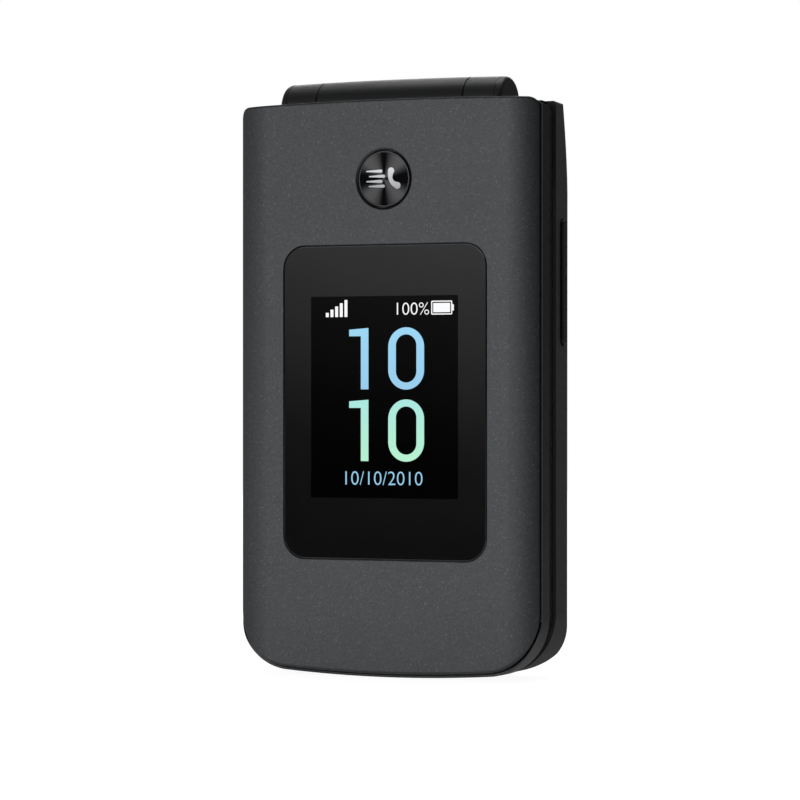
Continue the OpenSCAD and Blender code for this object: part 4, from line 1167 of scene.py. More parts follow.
@dataclass
class LidCover:
    """The lacquered cover of the lid, with a crowned stretch along each side.

    Args:
        half: Half the width that the full crown would have.
        reach: Half the width at which the crown ends.
        crown_w: Width of the crowned stretch.
        crown_drop: Drop of that stretch.
        lip: Depth at which the head and foot walls end.
        foot_r: Radius of its foot corners.
        head_r: Radius of its head corners.
        edge_r: Rounding along the head and the foot.
        head_slope: How much the head wall leans, as height for each depth.
        wall: Wall of the cover.
        rim: Width of the cover's lip.
        window_gap: Gap around the window.
        window_r: Radius of the window's corners.
        hole_edge: Small rounding around the openings.
        button_gap: Gap around the button.
        button_chamfer: Chamfer around the button's hole.
        button_r: Radius of the button.
        box: The cover's box.
        window: The window's box.
    """

    half: float = 28.6
    reach: float = 28.37
    crown_w: float = 6.0
    crown_drop: float = 2.6
    lip: float = 1.3
    foot_r: float = 9.8
    head_r: float = 1.8
    edge_r: float = 0.45
    head_slope: float = 0.2
    wall: float = 1.2
    rim: float = 1.9
    window_gap: float = 0.1
    window_r: float = 4.0
    hole_edge: float = 0.1
    button_gap: float = 0.12
    button_chamfer: float = 0.35
    button_r: float = 4.925
    box: NodeBox = NodeBox("lid_cover")
    window: NodeBox = NodeBox("outer_window")

    def crown(self, x: float) -> float:
        """Gives how far the crowned face lies behind the flat one, at a distance from the middle."""
        past = held((abs(x) - (self.half - self.crown_w)) / self.crown_w)
        return self.crown_drop * (1.0 - math.sqrt(1.0 - past * past))

    def build(self) -> None:
        """Models the cover, carves its openings and hands it over."""
        outline = PhoneOutline(self.reach, self.box.high.z, foot=self.box.low.z, foot_r=self.foot_r,
                               head_r=self.head_r, corner_steps=18)
        rays = outline.rays()

        def shaper(index: int, x: float, z: float, inset: float, level: float) -> Place:
            """Rounds the head and foot edges and leans the head wall."""
            across = abs(rays[index][1])
            past = max(self.edge_r - inset, 0.0)
            drop = (self.edge_r - math.sqrt(self.edge_r ** 2 - past * past)) * across
            depth = max(self.lip - self.crown(x), drop) if level > 0 else drop
            head = max(rays[index][1], 0.0) * self.head_slope * depth
            return x, z - head, y_of(depth)

        steps = [(0.0, self.lip)] + [(inset, 0.0) for inset in edge_insets(self.edge_r, 6)]
        steps += [(self.edge_r + 0.05, 0.0)]
        cover = loft("lid_cover_skin", outline.points, steps, shaper=shaper)
        self._lay_crown(cover)
        carve(cover, self._hollow(), self._window_seat(), self._button_hole())
        hand_over(cover, COVER_LACQUER, Body.LID, "cover_lacquer", "lid_cover")

    def _lay_crown(self, cover: Piece, strips: int = 15) -> None:
        """Cuts the face into strips along each side and lays them on the crown.

        Args:
            cover: The cover, still with a flat face.
            strips: How many cuts each side has.
        """
        start = self.half - self.crown_w
        with editing(cover) as mesh:
            for side in (-1, 1):
                for i in range(strips):
                    x = side * (start + (self.reach - start) * math.sin(math.pi / 2 * i / strips))
                    bpy.ops.mesh.select_all(action="SELECT")
                    bpy.ops.mesh.bisect(plane_co=(x * MM, 0.0, 0.0), plane_no=(1.0, 0.0, 0.0))
            for vert in mesh.verts:
                vert.co.y += self.crown(vert.co.x / MM) * MM
            bmesh.update_edit_mesh(cover.data)
            close_up()

    def _hollow(self) -> Piece:
        """Models the tool that hollows the cover from behind."""
        outline = PhoneOutline(self.reach, self.box.high.z, foot=self.box.low.z, foot_r=self.foot_r, head_r=8.0)
        steps = [(self.rim, y_of(self.lip + 2.0)), (self.rim, y_of(self.lip + 0.3)),
                 (self.crown_w - 0.4, y_of(self.wall))]
        return loft("hollow_tool", outline.points, steps)

    def _window_seat(self) -> Piece:
        """Models the tool that sinks the window's seat."""
        size, middle = self.window.size, self.window.middle
        grow = self.window_gap
        seat = rounded_rectangle(size.x + 2 * grow, size.z + 2 * grow, self.window_r + grow,
                                 (middle.x, middle.z))
        edge = self.hole_edge
        steps = [(0.0, self.window.high.y), (0.0, y_of(edge)), (-edge * 0.4, y_of(edge * 0.3)),
                 (-edge, y_of(0.0)), (-edge, y_of(-1.0))]
        return loft("seat_tool", seat, steps)

    def _button_hole(self) -> Piece:
        """Models the tool that bores the button's hole, with its chamfer."""
        radius = self.button_r + self.button_gap
        hole = disc(radius, (0.0, NodeBox("quick_call_button").middle.z), 128)
        chamfer = self.button_chamfer
        steps = [(0.0, y_of(3.0)), (0.0, y_of(chamfer)), (-chamfer, y_of(0.0)), (-chamfer - 0.02, y_of(-0.2)),
                 (-chamfer - 0.02, y_of(-1.0))]
        return loft("hole_tool", hole, steps)


@dataclass
class OuterWindow:
    """The smoked window over the outer screen, and the lit picture in it.

    Args:
        sink: How far the window lies behind the cover's face.
        edge_r: Rounding of its edge.
        corner_r: Radius of its corners.
        view_w: Width of the screen's picture.
        view_h: Height of the screen's picture.
        view_z: Height of the picture's middle.
        film: Thickness of the picture's layers.
        box: The window's box.
    """

    sink: float = 0.07
    edge_r: float = 0.15
    corner_r: float = 4.0
    view_w: float = 28.03
    view_h: float = 35.04
    view_z: float = 48.6
    film: float = 0.02
    box: NodeBox = NodeBox("outer_window")

    def build(self) -> None:
        """Models the window, the screen's pane and the picture on it."""
        size = self.box.size
        outline = rounded_rectangle(size.x, size.z, self.corner_r, self.box.spot, 14)
        steps = [(0.0, self.box.high.y)] + quarter_round(self.edge_r, 0.0, y_of(self.sink), -1)
        hand_over(loft("smoked_window", outline, steps), WINDOW_GLOSS, Body.LID, "window_plastic",
                  "outer_window")
        pane_at = self.sink - self.film
        view = rounded_rectangle(self.view_w, self.view_h, 0.15, (0.0, self.view_z), 3)
        pane = loft("outer_screen_pane", view, [(0.0, y_of(self.sink + 0.1)), (0.0, y_of(pane_at))])
        hand_over(pane, SCREEN_GLOSS, Body.LID, "display_glass")
        ScreenPicture(back=y_of(pane_at + 0.01), front=y_of(pane_at - self.film)).build()


@dataclass
class ScreenPicture:
    """What the outer screen shows: the hour over the minutes, a plain date, the signal and the charge.

    Args:
        back: Place of the picture's back.
        front: Place of its front.
        stroke: Width of a numeral's upright stroke.
        bar: Height of its level strokes.
        hour_foot: Height of the foot of the upper numerals.
        minute_foot: Height of the foot of the lower numerals.
        numeral_h: Height of the numerals.
        zero_ends: Where a 0 starts and ends across.
        one_ends: Where a 1's flag starts and its stem ends across.
        flag_drop: How far the flag's tip lies below the numeral's head, and how far its underside drops.
        thin: How much thinner the small numerals are drawn, as a share of the font's size.
        bars_at: The foot of the first signal bar.
        bar_w: Width of a signal bar.
        bar_h: Height of the first one.
        bar_pitch: Distance between them.
        bar_rise: How much higher each is than the one before it.
        charge_at: The middle of the charge sign.
    """

    back: float
    front: float
    stroke: float = 1.45
    bar: float = 1.22
    hour_foot: float = 49.95
    minute_foot: float = 37.5
    numeral_h: float = 10.65
    zero_ends: Point = (0.86, 7.66)
    one_ends: Point = (-6.62, -2.93)
    flag_drop: Point = (0.28, 0.2)
    thin: float = 0.012
    bars_at: Point = (-10.85, 62.55)
    bar_w: float = 0.56
    bar_h: float = 0.75
    bar_pitch: float = 0.9
    bar_rise: float = 0.55
    charge_at: Point = (10.98, 63.98)

    def build(self) -> None:
        """Models the four parts of the picture."""
        for name, foot, low, high in (("hour_numerals", self.hour_foot, (152, 205, 236), (156, 214, 244)),
                                      ("minute_numerals", self.minute_foot, (182, 240, 206), (170, 232, 224))):
            ink = LitInk(f"Screen {name.split('_')[0]} light", low, head_colour=high, foot_z=foot,
                         head_z=foot + self.numeral_h, specular=0.1)
            number = join(self._one(name, foot), self._zero("zero", foot))
            hand_over(number, ink, Body.LID, "display_glass")
        date_ink = LitInk("Screen date light", (150, 205, 236), head_colour=(150, 205, 236), specular=0.1)
        date = self._small("date_numerals", "10/10/2010", 2.35, (0.0, 34.55), 14.7)
        hand_over(date, date_ink, Body.LID, "display_glass")
        self._status_line()

    def _slab(self, name: str, outline: Outline) -> Piece:
        """Models a flat shape of the picture."""
        return loft(name, outline, [(0.0, self.back), (0.0, self.front)])

    def _small(self, name: str, words: str, height: float, middle: Point, width: float) -> Piece:
        """Models a line of small numerals."""
        return lettering(name, words, height, middle, (self.back, self.front), width=width, thin=self.thin)

    def _pierce(self, piece: Piece, outline: Outline) -> Piece:
        """Cuts an outline through a flat shape."""
        return carve(piece, loft("hole_tool", outline, [(0.0, self.back + 1.0), (0.0, self.front - 1.0)]))

    def _zero(self, name: str, foot: float) -> Piece:
        """Models a 0 as a long ring.

        Args:
            name: The piece's name.
            foot: Height of its foot.

        Returns:
            The piece.
        """
        left, right = self.zero_ends
        middle = ((left + right) / 2, foot + self.numeral_h / 2)
        width, height = right - left, self.numeral_h + 0.1
        outer = self._slab(name, rounded_rectangle(width, height, width / 2 - 0.02, middle, 16))
        inner_w = width - 2 * self.stroke
        inner = rounded_rectangle(inner_w, height - 2 * self.bar, inner_w / 2 - 0.02, middle, 14)
        return self._pierce(outer, inner)

    def _one(self, name: str, foot: float) -> Piece:
        """Models a 1 with a short level flag.

        Args:
            name: The piece's name.
            foot: Height of its foot.

        Returns:
            The piece.
        """
        left, right = self.one_ends
        top, inner = foot + self.numeral_h, right - self.stroke
        under = top - self.flag_drop[1] - self.bar
        corners = [(right, foot), (right, top), (left, top - self.flag_drop[0]), (left, under), (inner, under),
                   (inner, foot)]
        return self._slab(name, polygon(corners))

    def _status_line(self) -> None:
        """Models the signal bars, the charge in numbers and the charge sign."""
        bars = []
        for i in range(5):
            height = self.bar_h + self.bar_rise * i
            middle = (self.bars_at[0] + self.bar_pitch * i, self.bars_at[1] + height / 2)
            bars.append(self._slab(f"bar_{i}", rounded_rectangle(self.bar_w, height, 0.06, middle, 2)))
        charge = self._small("charge_numerals", "100%", 2.1, (5.55, 63.86), 6.1)
        shell = self._slab("charge_sign", rounded_rectangle(3.95, 2.4, 0.2, self.charge_at, 4))
        self._pierce(shell, rounded_rectangle(3.55, 2.0, 0.08, self.charge_at, 3))
        charge_fill = self._slab("charge_fill", rounded_rectangle(3.15, 1.6, 0.05, self.charge_at, 2))
        nub = self._slab("charge_nub", rounded_rectangle(0.3, 1.1, 0.06, (13.1, self.charge_at[1]), 2))
        ink = LitInk("Screen status light", (250, 251, 252), head_colour=(250, 251, 252), specular=0.1)
        line = join(shell, charge, charge_fill, nub, *bars)
        line.name = line.data.name = "status_line"
        hand_over(line, ink, Body.LID, "display_glass")


@dataclass
class CallButton:
    """The round spun-metal button above the window, with its printed sign.

    Args:
        radius: Radius of its face.
        edge_r: Rounding of its edge.
        rim: Width of the pale rim around the spun face.
        flange: Width of the flange behind the cover.
        flange_t: Thickness of that flange.
        print_t: Thickness of the print.
        line_starts: Left ends of the sign's lines, in X and Z.
        line_length: Length of a line.
        line_r: Half a line's width at its ends.
        handset: The handset's ear end, the point its grip leans to, and its mouth end.
        handset_r: Half the width of its ends.
        waist: How much narrower its grip is.
        box: The button's box.
    """

    radius: float = 4.925
    edge_r: float = 0.14
    rim: float = 0.3
    flange: float = 0.9
    flange_t: float = 0.4
    print_t: float = 0.02
    line_starts: tuple[Point, ...] = ((-3.28, 87.75), (-2.78, 86.85), (-3.28, 85.98), (-2.82, 85.13))
    line_length: float = 2.7
    line_r: Point = (0.1, 0.27)
    handset: tuple[Point, Point, Point] = ((1.34, 87.74), (0.74, 85.8), (2.54, 85.2))
    handset_r: float = 0.6
    waist: float = 0.22
    box: NodeBox = NodeBox("quick_call_button")

    def build(self) -> None:
        """Models the disc and its sign."""
        middle = (0.0, self.box.middle.z)
        face = self.box.low.y + self.print_t
        back = self.box.high.y
        steps = [(-self.flange, back), (-self.flange, back - self.flange_t), (0.0, back - self.flange_t)]
        steps += quarter_round(self.edge_r, 0.0, face, -1)
        steps += [(self.rim, face), (self.rim + 0.05, face + 0.04)]
        button = loft("quick_call_disc", disc(self.radius, middle, 128), steps)
        hand_over(button, BUTTON_METAL, Body.BUTTON, "spun_metal", "quick_call_button")
        self._sign(face + 0.05, face + 0.01)

    def _sign(self, back: float, front: float) -> None:
        """Models the sign: a handset beside four lines that swell to the right.

        Args:
            back: The print's back face.
            front: Its front face.
        """
        # The silver print gets a painted glow that brightens towards its head: painted light, since the print is
        # no lamp.
        ink = LitInk("Button silver print, painted glow", (172, 174, 176), head_colour=(238, 240, 242), foot_z=84.6,
                     head_z=88.4, glow=0.75, roughness=0.4)
        levels = [(0.0, back), (0.0, front)]
        strokes = [tapered_stroke([(x, z), (x + self.line_length, z)], self.line_r)
                   for x, z in self.line_starts]
        lines = [loft(f"sign_line_{i}", stroke, levels) for i, stroke in enumerate(strokes)]
        bend = [self._bend(*self.handset, i / 10) for i in range(11)]
        widths = [self.handset_r - self.waist * math.sin(math.pi * i / 10) ** 0.7 for i in range(11)]
        handset = loft("sign_handset", tapered_stroke(bend, widths), levels)
        sign = join(handset, *lines)
        sign.name = sign.data.name = "quick_call_sign"
        hand_over(sign, ink, Body.BUTTON, "spun_metal")

    @staticmethod
    def _bend(start: Point, pull: Point, end: Point, share: float) -> Point:
        """Gives a point on the smooth bend from start to end that leans towards pull."""
        a, b, c = (1 - share) ** 2, 2 * share * (1 - share), share * share
        return a * start[0] + b * pull[0] + c * end[0], a * start[1] + b * pull[1] + c * end[1]


@dataclass
class LidFrame:
    """The frame of the lid: its inner part, the band around its sides and foot, and the main lens.

    Args:
        front: Depth of the band's front edge along the sides.
        lip_front: Depth of that edge at the foot, where it stands around the cover.
        turn: How far the outline has turned to the foot where that edge is all the way forward.
        back: Depth of the band's back edge.
        wall: Width of the band.
        edge_r: Rounding of its edges.
        gap: Gap between the band and the cover.
        foot_r: Radius of its foot corners.
        head_r: Radius of its head corners.
        tuck: How far the inner part's outside is drawn in behind the band.
        near: How near the outline a spot counts as outside.
        shade_w: Depth of the groove behind the cover that is painted in shade.
        lit_head: Height of the stretch at the head that is left out of the painted shade.
        past: How far a cutting tool stands out past the head.
        box: The frame's box.
        cover: The cover that it carries.
    """

    front: float = 2.55
    lip_front: float = 1.3
    turn: float = 0.5
    back: float = 5.75
    wall: float = 1.3
    edge_r: float = 0.16
    gap: float = 0.31
    foot_r: float = 9.8
    head_r: float = 1.6
    tuck: float = 0.55
    near: float = 0.35
    shade_w: float = 0.6
    lit_head: float = 6.0
    past: float = 20.0
    box: NodeBox = NodeBox("lid_frame")
    cover: LidCover = field(default_factory=LidCover)

    def build(self) -> None:
        """Models the inner part, the band and the lens."""
        piece = merged_copy("lid_frame", "lid_frame_skin")
        self._tuck_in(piece)
        HingeBarrel().draw_in(piece)
        head = self.cover.box.high.z - self.lit_head
        groove = y_of(self.front + self.shade_w)

        def in_painted_shade(middle: Vector, normal: Vector) -> bool:
            """Picks the drawn-in outside and the groove behind the cover, which are painted in shade."""
            outside = abs(normal.y) < 0.5 and (middle.x * normal.x > 25.0 or normal.z * middle.z < -0.3)
            return middle.z < head and (middle.y < groove or outside)

        # The groove behind the cover and the drawn-in outside are painted near-black: painted shade in the gap
        # between cover, frame and band.
        paint(piece, BLACK_SATIN, (PAINTED_SHADE_PLASTIC, in_painted_shade))
        hand_over(piece, BLACK_SATIN, Body.LID, "frame_plastic", "lid_frame")
        self._band()
        self._lens()

    def _tuck_in(self, piece: Piece) -> None:
        """Draws the outside of the frame's sides and foot in.

        Args:
            piece: The frame.
        """
        spots = PhoneOutline(self.box.high.x, self.cover.box.high.z).spots()
        for vert in piece.data.vertices:
            at = vert.co / MM
            inside, ray = nearest(spots, at.x, at.z)
            if abs(inside) < self.near:
                vert.co.x -= ray[0] * self.tuck * MM
                vert.co.z -= ray[1] * self.tuck * MM

    def _band(self) -> None:
        """Models the band, whose front edge comes forward around the cover's foot."""
        outline = PhoneOutline(self.box.high.x, self.cover.box.high.z + 0.02, foot_r=self.foot_r,
                               head_r=self.head_r, corner_steps=24)
        rays = outline.rays()

        def shaper(index: int, x: float, z: float, inset: float, level: float) -> Place:
            """Brings the front edge forward at the foot and leans the head; a level over 1 is a plain depth."""
            left = 1.0 - held(-rays[index][1] / self.turn)
            front = self.lip_front + (self.front - self.lip_front) * left ** 1.3
            depth = front + level if level < 1.0 else level
            return x, z - max(rays[index][1], 0.0) * self.cover.head_slope * depth, y_of(depth)

        rounding = quarter_round(self.edge_r, 0.0, 0.0, -1)
        back = [(inset, self.back - level) for inset, level in reversed(rounding)]
        face = [(self.wall + 1.0, self.front - 0.3)]
        band = loft("lid_band", outline.points, back + rounding + face, shaper=shaper)
        top = self.cover.box.high.z + self.past
        cover = PhoneOutline(self.cover.reach, top, foot=self.cover.box.low.z, foot_r=self.foot_r)
        room = PhoneOutline(self.box.high.x - self.wall, top, foot=self.wall, foot_r=self.foot_r - self.wall)
        inner = loft("room_tool", room.points, [(0.0, y_of(self.back + 1.0)), (0.0, y_of(self.front - 0.1))])
        outer = loft("cover_tool", cover.points,
                     [(-self.gap, y_of(self.front - 0.05)), (-self.gap, y_of(-1.0))])
        carve(band, inner, outer, solver="MANIFOLD")

        def inside(middle: Vector, normal: Vector) -> bool:
            """Picks the faces that look inward, which are painted in shade."""
            return abs(normal.y) < 0.5 and (normal.z > 0.3 or normal.x * middle.x < 0.0)

        def on_painted_highlight(middle: Vector, normal: Vector) -> bool:
            """Picks the rounded front edge, which gets a painted highlight."""
            return -0.95 < normal.y < -0.25 and depth_of(middle.y) < self.front + self.edge_r

        # Faces that look inward are painted near-black: painted shade inside the band.
        # The rounded front edge is painted pale: a painted highlight line along the band.
        paint(band, BLACK_SATIN, (PAINTED_SHADE_PLASTIC, inside), (PAINTED_EDGE_HIGHLIGHT, on_painted_highlight))
        hand_over(band, BLACK_SATIN, Body.LID, "frame_plastic")

    def _lens(self) -> None:
        """Models the lens over the main screen, with its rounded edge."""
        box = NodeBox("main_lens")
        outline = rounded_rectangle(box.size.x, box.size.z, 2.5, box.spot, 10)
        steps = [(0.0, box.low.y)] + quarter_round(0.12, 0.0, box.high.y, 1)
        pane = loft("main_lens_pane", outline, steps)
        hand_over(pane, LENS_GLOSS, Body.LID, "display_glass", "main_lens")


# --- Base ---


@dataclass
class HingeBarrel:
    """The smooth sleeves of the hinge's barrel: one on the lid between two on the base.

    Args:
        axis_d: Depth of the hinge's axis.
        axis_z: Height of that axis.
        radius: Radius of the barrel at its middle.
        thinning: How much thinner the barrel gets, for the square of the distance from its middle.
        middle_half: Half the length of the lid's sleeve.
        start: Distance from the middle at which a base sleeve starts.
        end: Distance at which it ends.
        seam: Distance at which its cap starts.
        seam_w: Width of the seam before the cap.
        seam_d: Depth of that seam.
        between: Distances at which a base sleeve has steps on its way.
        end_r: Rounding of its end.
        edge_r: Rounding of the other edges.
        skin: How far the sleeves stand out over the barrel's radius.
        under: How far the knuckles are drawn in under the sleeves.
    """

    axis_d: float = 6.5
    axis_z: float = 99.25
    radius: float = 4.9
    thinning: float = 1 / 1600
    middle_half: float = 13.92
    start: float = 14.08
    end: float = 21.07
    seam: float = 19.9
    seam_w: float = 0.16
    seam_d: float = 0.12
    between: Point = (16.0, 18.0)
    end_r: float = 0.75
    edge_r: float = 0.1
    skin: float = -0.004
    under: float = 0.05

    def inset(self, x: float) -> float:
        """Gives how much thinner than the full sleeve the barrel is at a distance from its middle."""
        return x * x * self.thinning

    def draw_in(self, piece: Piece) -> None:
        """Draws the knuckles of a piece in under the sleeves.

        Args:
            piece: The lid's frame or a housing.
        """
        axis_y = y_of(self.axis_d)
        for vert in piece.data.vertices:
            at = vert.co / MM
            across, up = at.y - axis_y, at.z - self.axis_z
            reach = math.hypot(across, up)
            over = abs(reach - self.radius + self.inset(at.x))
            if over < 2 * self.under and abs(at.x) < self.end + self.end_r:
                vert.co.y -= across / reach * self.under * MM
                vert.co.z -= up / reach * self.under * MM

    def build(self) -> None:
        """Models the three sleeves."""
        outline = disc(self.radius + self.skin, (y_of(self.axis_d), self.axis_z), 128)
        half, edge = self.middle_half, self.edge_r
        stations = [-half + 2 * half * i / 12 for i in range(1, 12)]
        steps = [(self.inset(x), x) for x in [-half + edge] + stations + [half - edge]]
        ends = self.inset(half) + edge
        sleeve = loft("barrel_middle", outline, [(ends, -half)] + steps + [(ends, half)], Facing.SIDE)
        hand_over(sleeve, BARREL_SATIN, Body.LID, "frame_plastic")
        for side, name in ((-1, "barrel_left"), (1, "barrel_right")):
            sleeve = loft(name, outline, self._outer_steps(side), Facing.SIDE)
            hand_over(sleeve, BARREL_SATIN, Body.BASE, "frame_plastic")

    def _outer_steps(self, side: int) -> list[Step]:
        """Gives the steps of a base sleeve, from its start to its end.

        Args:
            side: -1 on the left, 1 on the right.

        Returns:
            The steps, each an inset and a place along X.
        """
        steps = [(self.inset(self.start) + self.edge_r, self.start)]
        stations = (self.start + self.edge_r, *self.between, self.seam - self.seam_w)
        steps += [(self.inset(x), x) for x in stations]
        steps += [(self.inset(self.seam) + self.seam_d, x) for x in (self.seam - self.seam_w * 0.8, self.seam)]
        steps += [(self.inset(self.seam), self.seam + 0.04)]
        steps += quarter_round(self.end_r, self.inset(self.end), self.end, 1, 6)
        return [(inset, side * x) for inset, x in steps]


@dataclass
class BaseShells:
    """The front and rear housings of the base.

    Args:
        part_line: Depth of the rear housing's front edge in the frame.
        shown_line: Depth at which its outer edge shows.
        full_depth: Depth at which the sides lean in and the corners turn in fully.
        lean_z: Height at which the sides start to lean in towards the head.
        lean: How far they lean in at the head.
        lean_w: Width of the stretch that leans.
        cuts: How many cuts the leaning stretch gets.
        lift: How much higher the head's corners are than its bow.
        softer: How much larger the radius of the foot corners is at the back.
        skin: How far within the outline a spot still turns with it.
        box: The rear housing's box.
    """

    part_line: float = 9.3
    shown_line: float = 8.78
    full_depth: float = 17.0
    lean_z: float = 84.0
    lean: float = 1.3
    lean_w: float = 5.5
    cuts: int = 6
    lift: float = 0.4
    softer: float = 0.5
    skin: float = 3.0
    box: NodeBox = NodeBox("rear_housing")

    def build(self) -> None:
        """Dresses the housings and hands them over."""
        front = merged_copy("front_housing", "front_housing_skin")
        HingeBarrel().draw_in(front)
        hand_over(front, KEYPAD_PLASTIC, Body.BASE, "keypad_plastic", "front_housing")
        rear = merged_copy("rear_housing", "rear_housing_skin")
        self._cut_across(rear)
        self._shape(rear)
        HingeBarrel().draw_in(rear)
        hand_over(rear, REAR_PLASTIC, Body.BASE, "frame_plastic", "rear_housing")

    def _cut_across(self, rear: Piece) -> None:
        """Cuts the stretch below the head into strips, so that it can lean smoothly.

        Args:
            rear: The rear housing.
        """
        top = self.box.high.z
        with editing(rear) as mesh:
            for i in range(self.cuts):
                z = self.lean_z + (top - self.lean_z) * i / self.cuts
                bpy.ops.mesh.select_all(action="SELECT")
                bpy.ops.mesh.bisect(plane_co=(0.0, 0.0, z * MM), plane_no=(0.0, 0.0, 1.0))
            bmesh.update_edit_mesh(rear.data)

    def _shape(self, rear: Piece) -> None:
        """Leans the sides in towards the head, softens the foot corners and brings the parting edge forward.

        Args:
            rear: The rear housing.
        """
        half, top = self.box.high.x, self.box.high.z
        spots = PhoneOutline(half, top).spots()
        for vert in rear.data.vertices:
            at = vert.co / MM
            depth = depth_of(at.y)
            behind = held((depth - self.part_line) / (self.full_depth - self.part_line))
            inside, ray = nearest(spots, at.x, at.z)
            if abs(depth - self.part_line) < 0.02 and inside < 0.1:
                vert.co.y = y_of(self.shown_line) * MM
            if inside < self.skin and ray[1] < 0.0:
                turned = self.softer * (abs(ray[0]) + abs(ray[1]) - 1.0) * behind
                vert.co.x -= ray[0] * turned * MM
                vert.co.z -= ray[1] * turned * MM
            rise = held((at.z - self.lean_z) / (top - self.lean_z))
            outward = held((abs(at.x) - half + self.lean_w) / self.lean_w)
            vert.co.x -= math.copysign(self.lean * rise ** 1.6 * behind * outward, at.x) * MM
            vert.co.z += self.lift * (at.x / half) ** 4 * rise * MM


@dataclass
class BatteryCover:
    """The cover over the battery, which follows the round edges of the back.

    Args:
        wall: Its wall.
        back_r: Rounding of the phone's rear edges.
        half: Half the phone's width.
        corner_r: Radius of the cover's corners.
        edge_r: Rounding of the cover's edge.
        loops: Insets of the loops that carry the curve of each face.
        box: The cover's box.
    """

    wall: float = 1.2
    back_r: float = 5.0
    half: float = 28.6
    corner_r: float = 7.0
    edge_r: float = 0.2
    loops: tuple[float, ...] = (4.2, 3.4, 2.6, 1.8, 1.0, 0.6)
    box: NodeBox = NodeBox("battery_cover")

    def fall(self, x: float, z: float) -> float:
        """Gives how far the back lies in front of its flat part, at a place."""
        past = [max(abs(x) - (self.half - self.back_r), 0.0), max(self.back_r - z, 0.0)]
        return sum(self.back_r - math.sqrt(self.back_r ** 2 - p * p) for p in past)

    def build(self) -> None:
        """Models the cover as a curved plate."""
        size = self.box.size
        outline = rounded_rectangle(size.x, size.z, self.corner_r, self.box.spot, 16)
        back = self.box.high.y

        def shaper(index: int, x: float, z: float, inset: float, level: float) -> Place:
            """Lays each loop on the round back, at its level below it."""
            return x, z, back - self.fall(x, z) - level

        rows = edge_insets(self.edge_r, 4)
        falls = [self.edge_r - math.sqrt(self.edge_r ** 2 - (self.edge_r - r) ** 2) for r in rows]
        steps = [(i, self.wall) for i in (*self.loops, 0.0)] + list(zip(rows, falls))
        steps += [(i, 0.0) for i in reversed(self.loops)]
        cover = loft("battery_cover_skin", outline, steps, shaper=shaper)
        hand_over(cover, REAR_PLASTIC, Body.BACK, "frame_plastic", "battery_cover")


@dataclass
class VolumeRocker:
    """The rocker key in the right side.

    Args:
        width: Its width.
        length: Its length.
        edge_r: Rounding of its face.
        flange: How far its flange stands past its sides.
        flange_t: Thickness of that flange.
        inner: Place of the flange's inner face.
        nub: Length of a side of the nubs.
        nub_z: Distance of the nubs from its middle.
        box: The rocker's box.
    """

    width: float = 2.2
    length: float = 21.6
    edge_r: float = 0.3
    flange: float = 0.2
    flange_t: float = 0.5
    inner: float = 26.05
    nub: float = 1.0
    nub_z: float = 4.1
    box: NodeBox = NodeBox("volume_rocker")

    def build(self) -> None:
        """Models the rocker and the two nubs behind it."""
        middle = (self.box.middle.y, self.box.middle.z)
        outline = rounded_rectangle(self.width, self.length, self.width / 2, middle, 12)
        inner = self.inner
        steps = [(-self.flange, inner), (-self.flange, inner + self.flange_t), (0.0, inner + self.flange_t)]
        steps += quarter_round(self.edge_r, 0.0, self.box.high.x, 1)
        rocker = loft("volume_rocker_skin", outline, steps, Facing.SIDE)
        nubs = []
        for i, side in enumerate((-1, 1)):
            nub = rounded_rectangle(self.nub, self.nub, 0.2, (middle[0], middle[1] + side * self.nub_z), 3)
            nubs.append(loft(f"nub_{i}", nub, [(0.0, self.box.low.x), (0.0, inner + 0.1)], Facing.SIDE))
        rocker = join(rocker, *nubs)
        face = self.box.high.x - self.edge_r * 0.6

        def in_painted_shade(middle: Vector, normal: Vector) -> bool:
            """Picks the side walls, which are painted in shade."""
            return middle.x < face and abs(normal.x) < 0.5

        # The rocker's side walls are painted near-black: painted shade in the gap around the rocker.
        paint(rocker, BLACK_SATIN, (PAINTED_SHADE_PLASTIC, in_painted_shade))
        hand_over(rocker, BLACK_SATIN, Body.ROCKER, "frame_plastic", "volume_rocker")


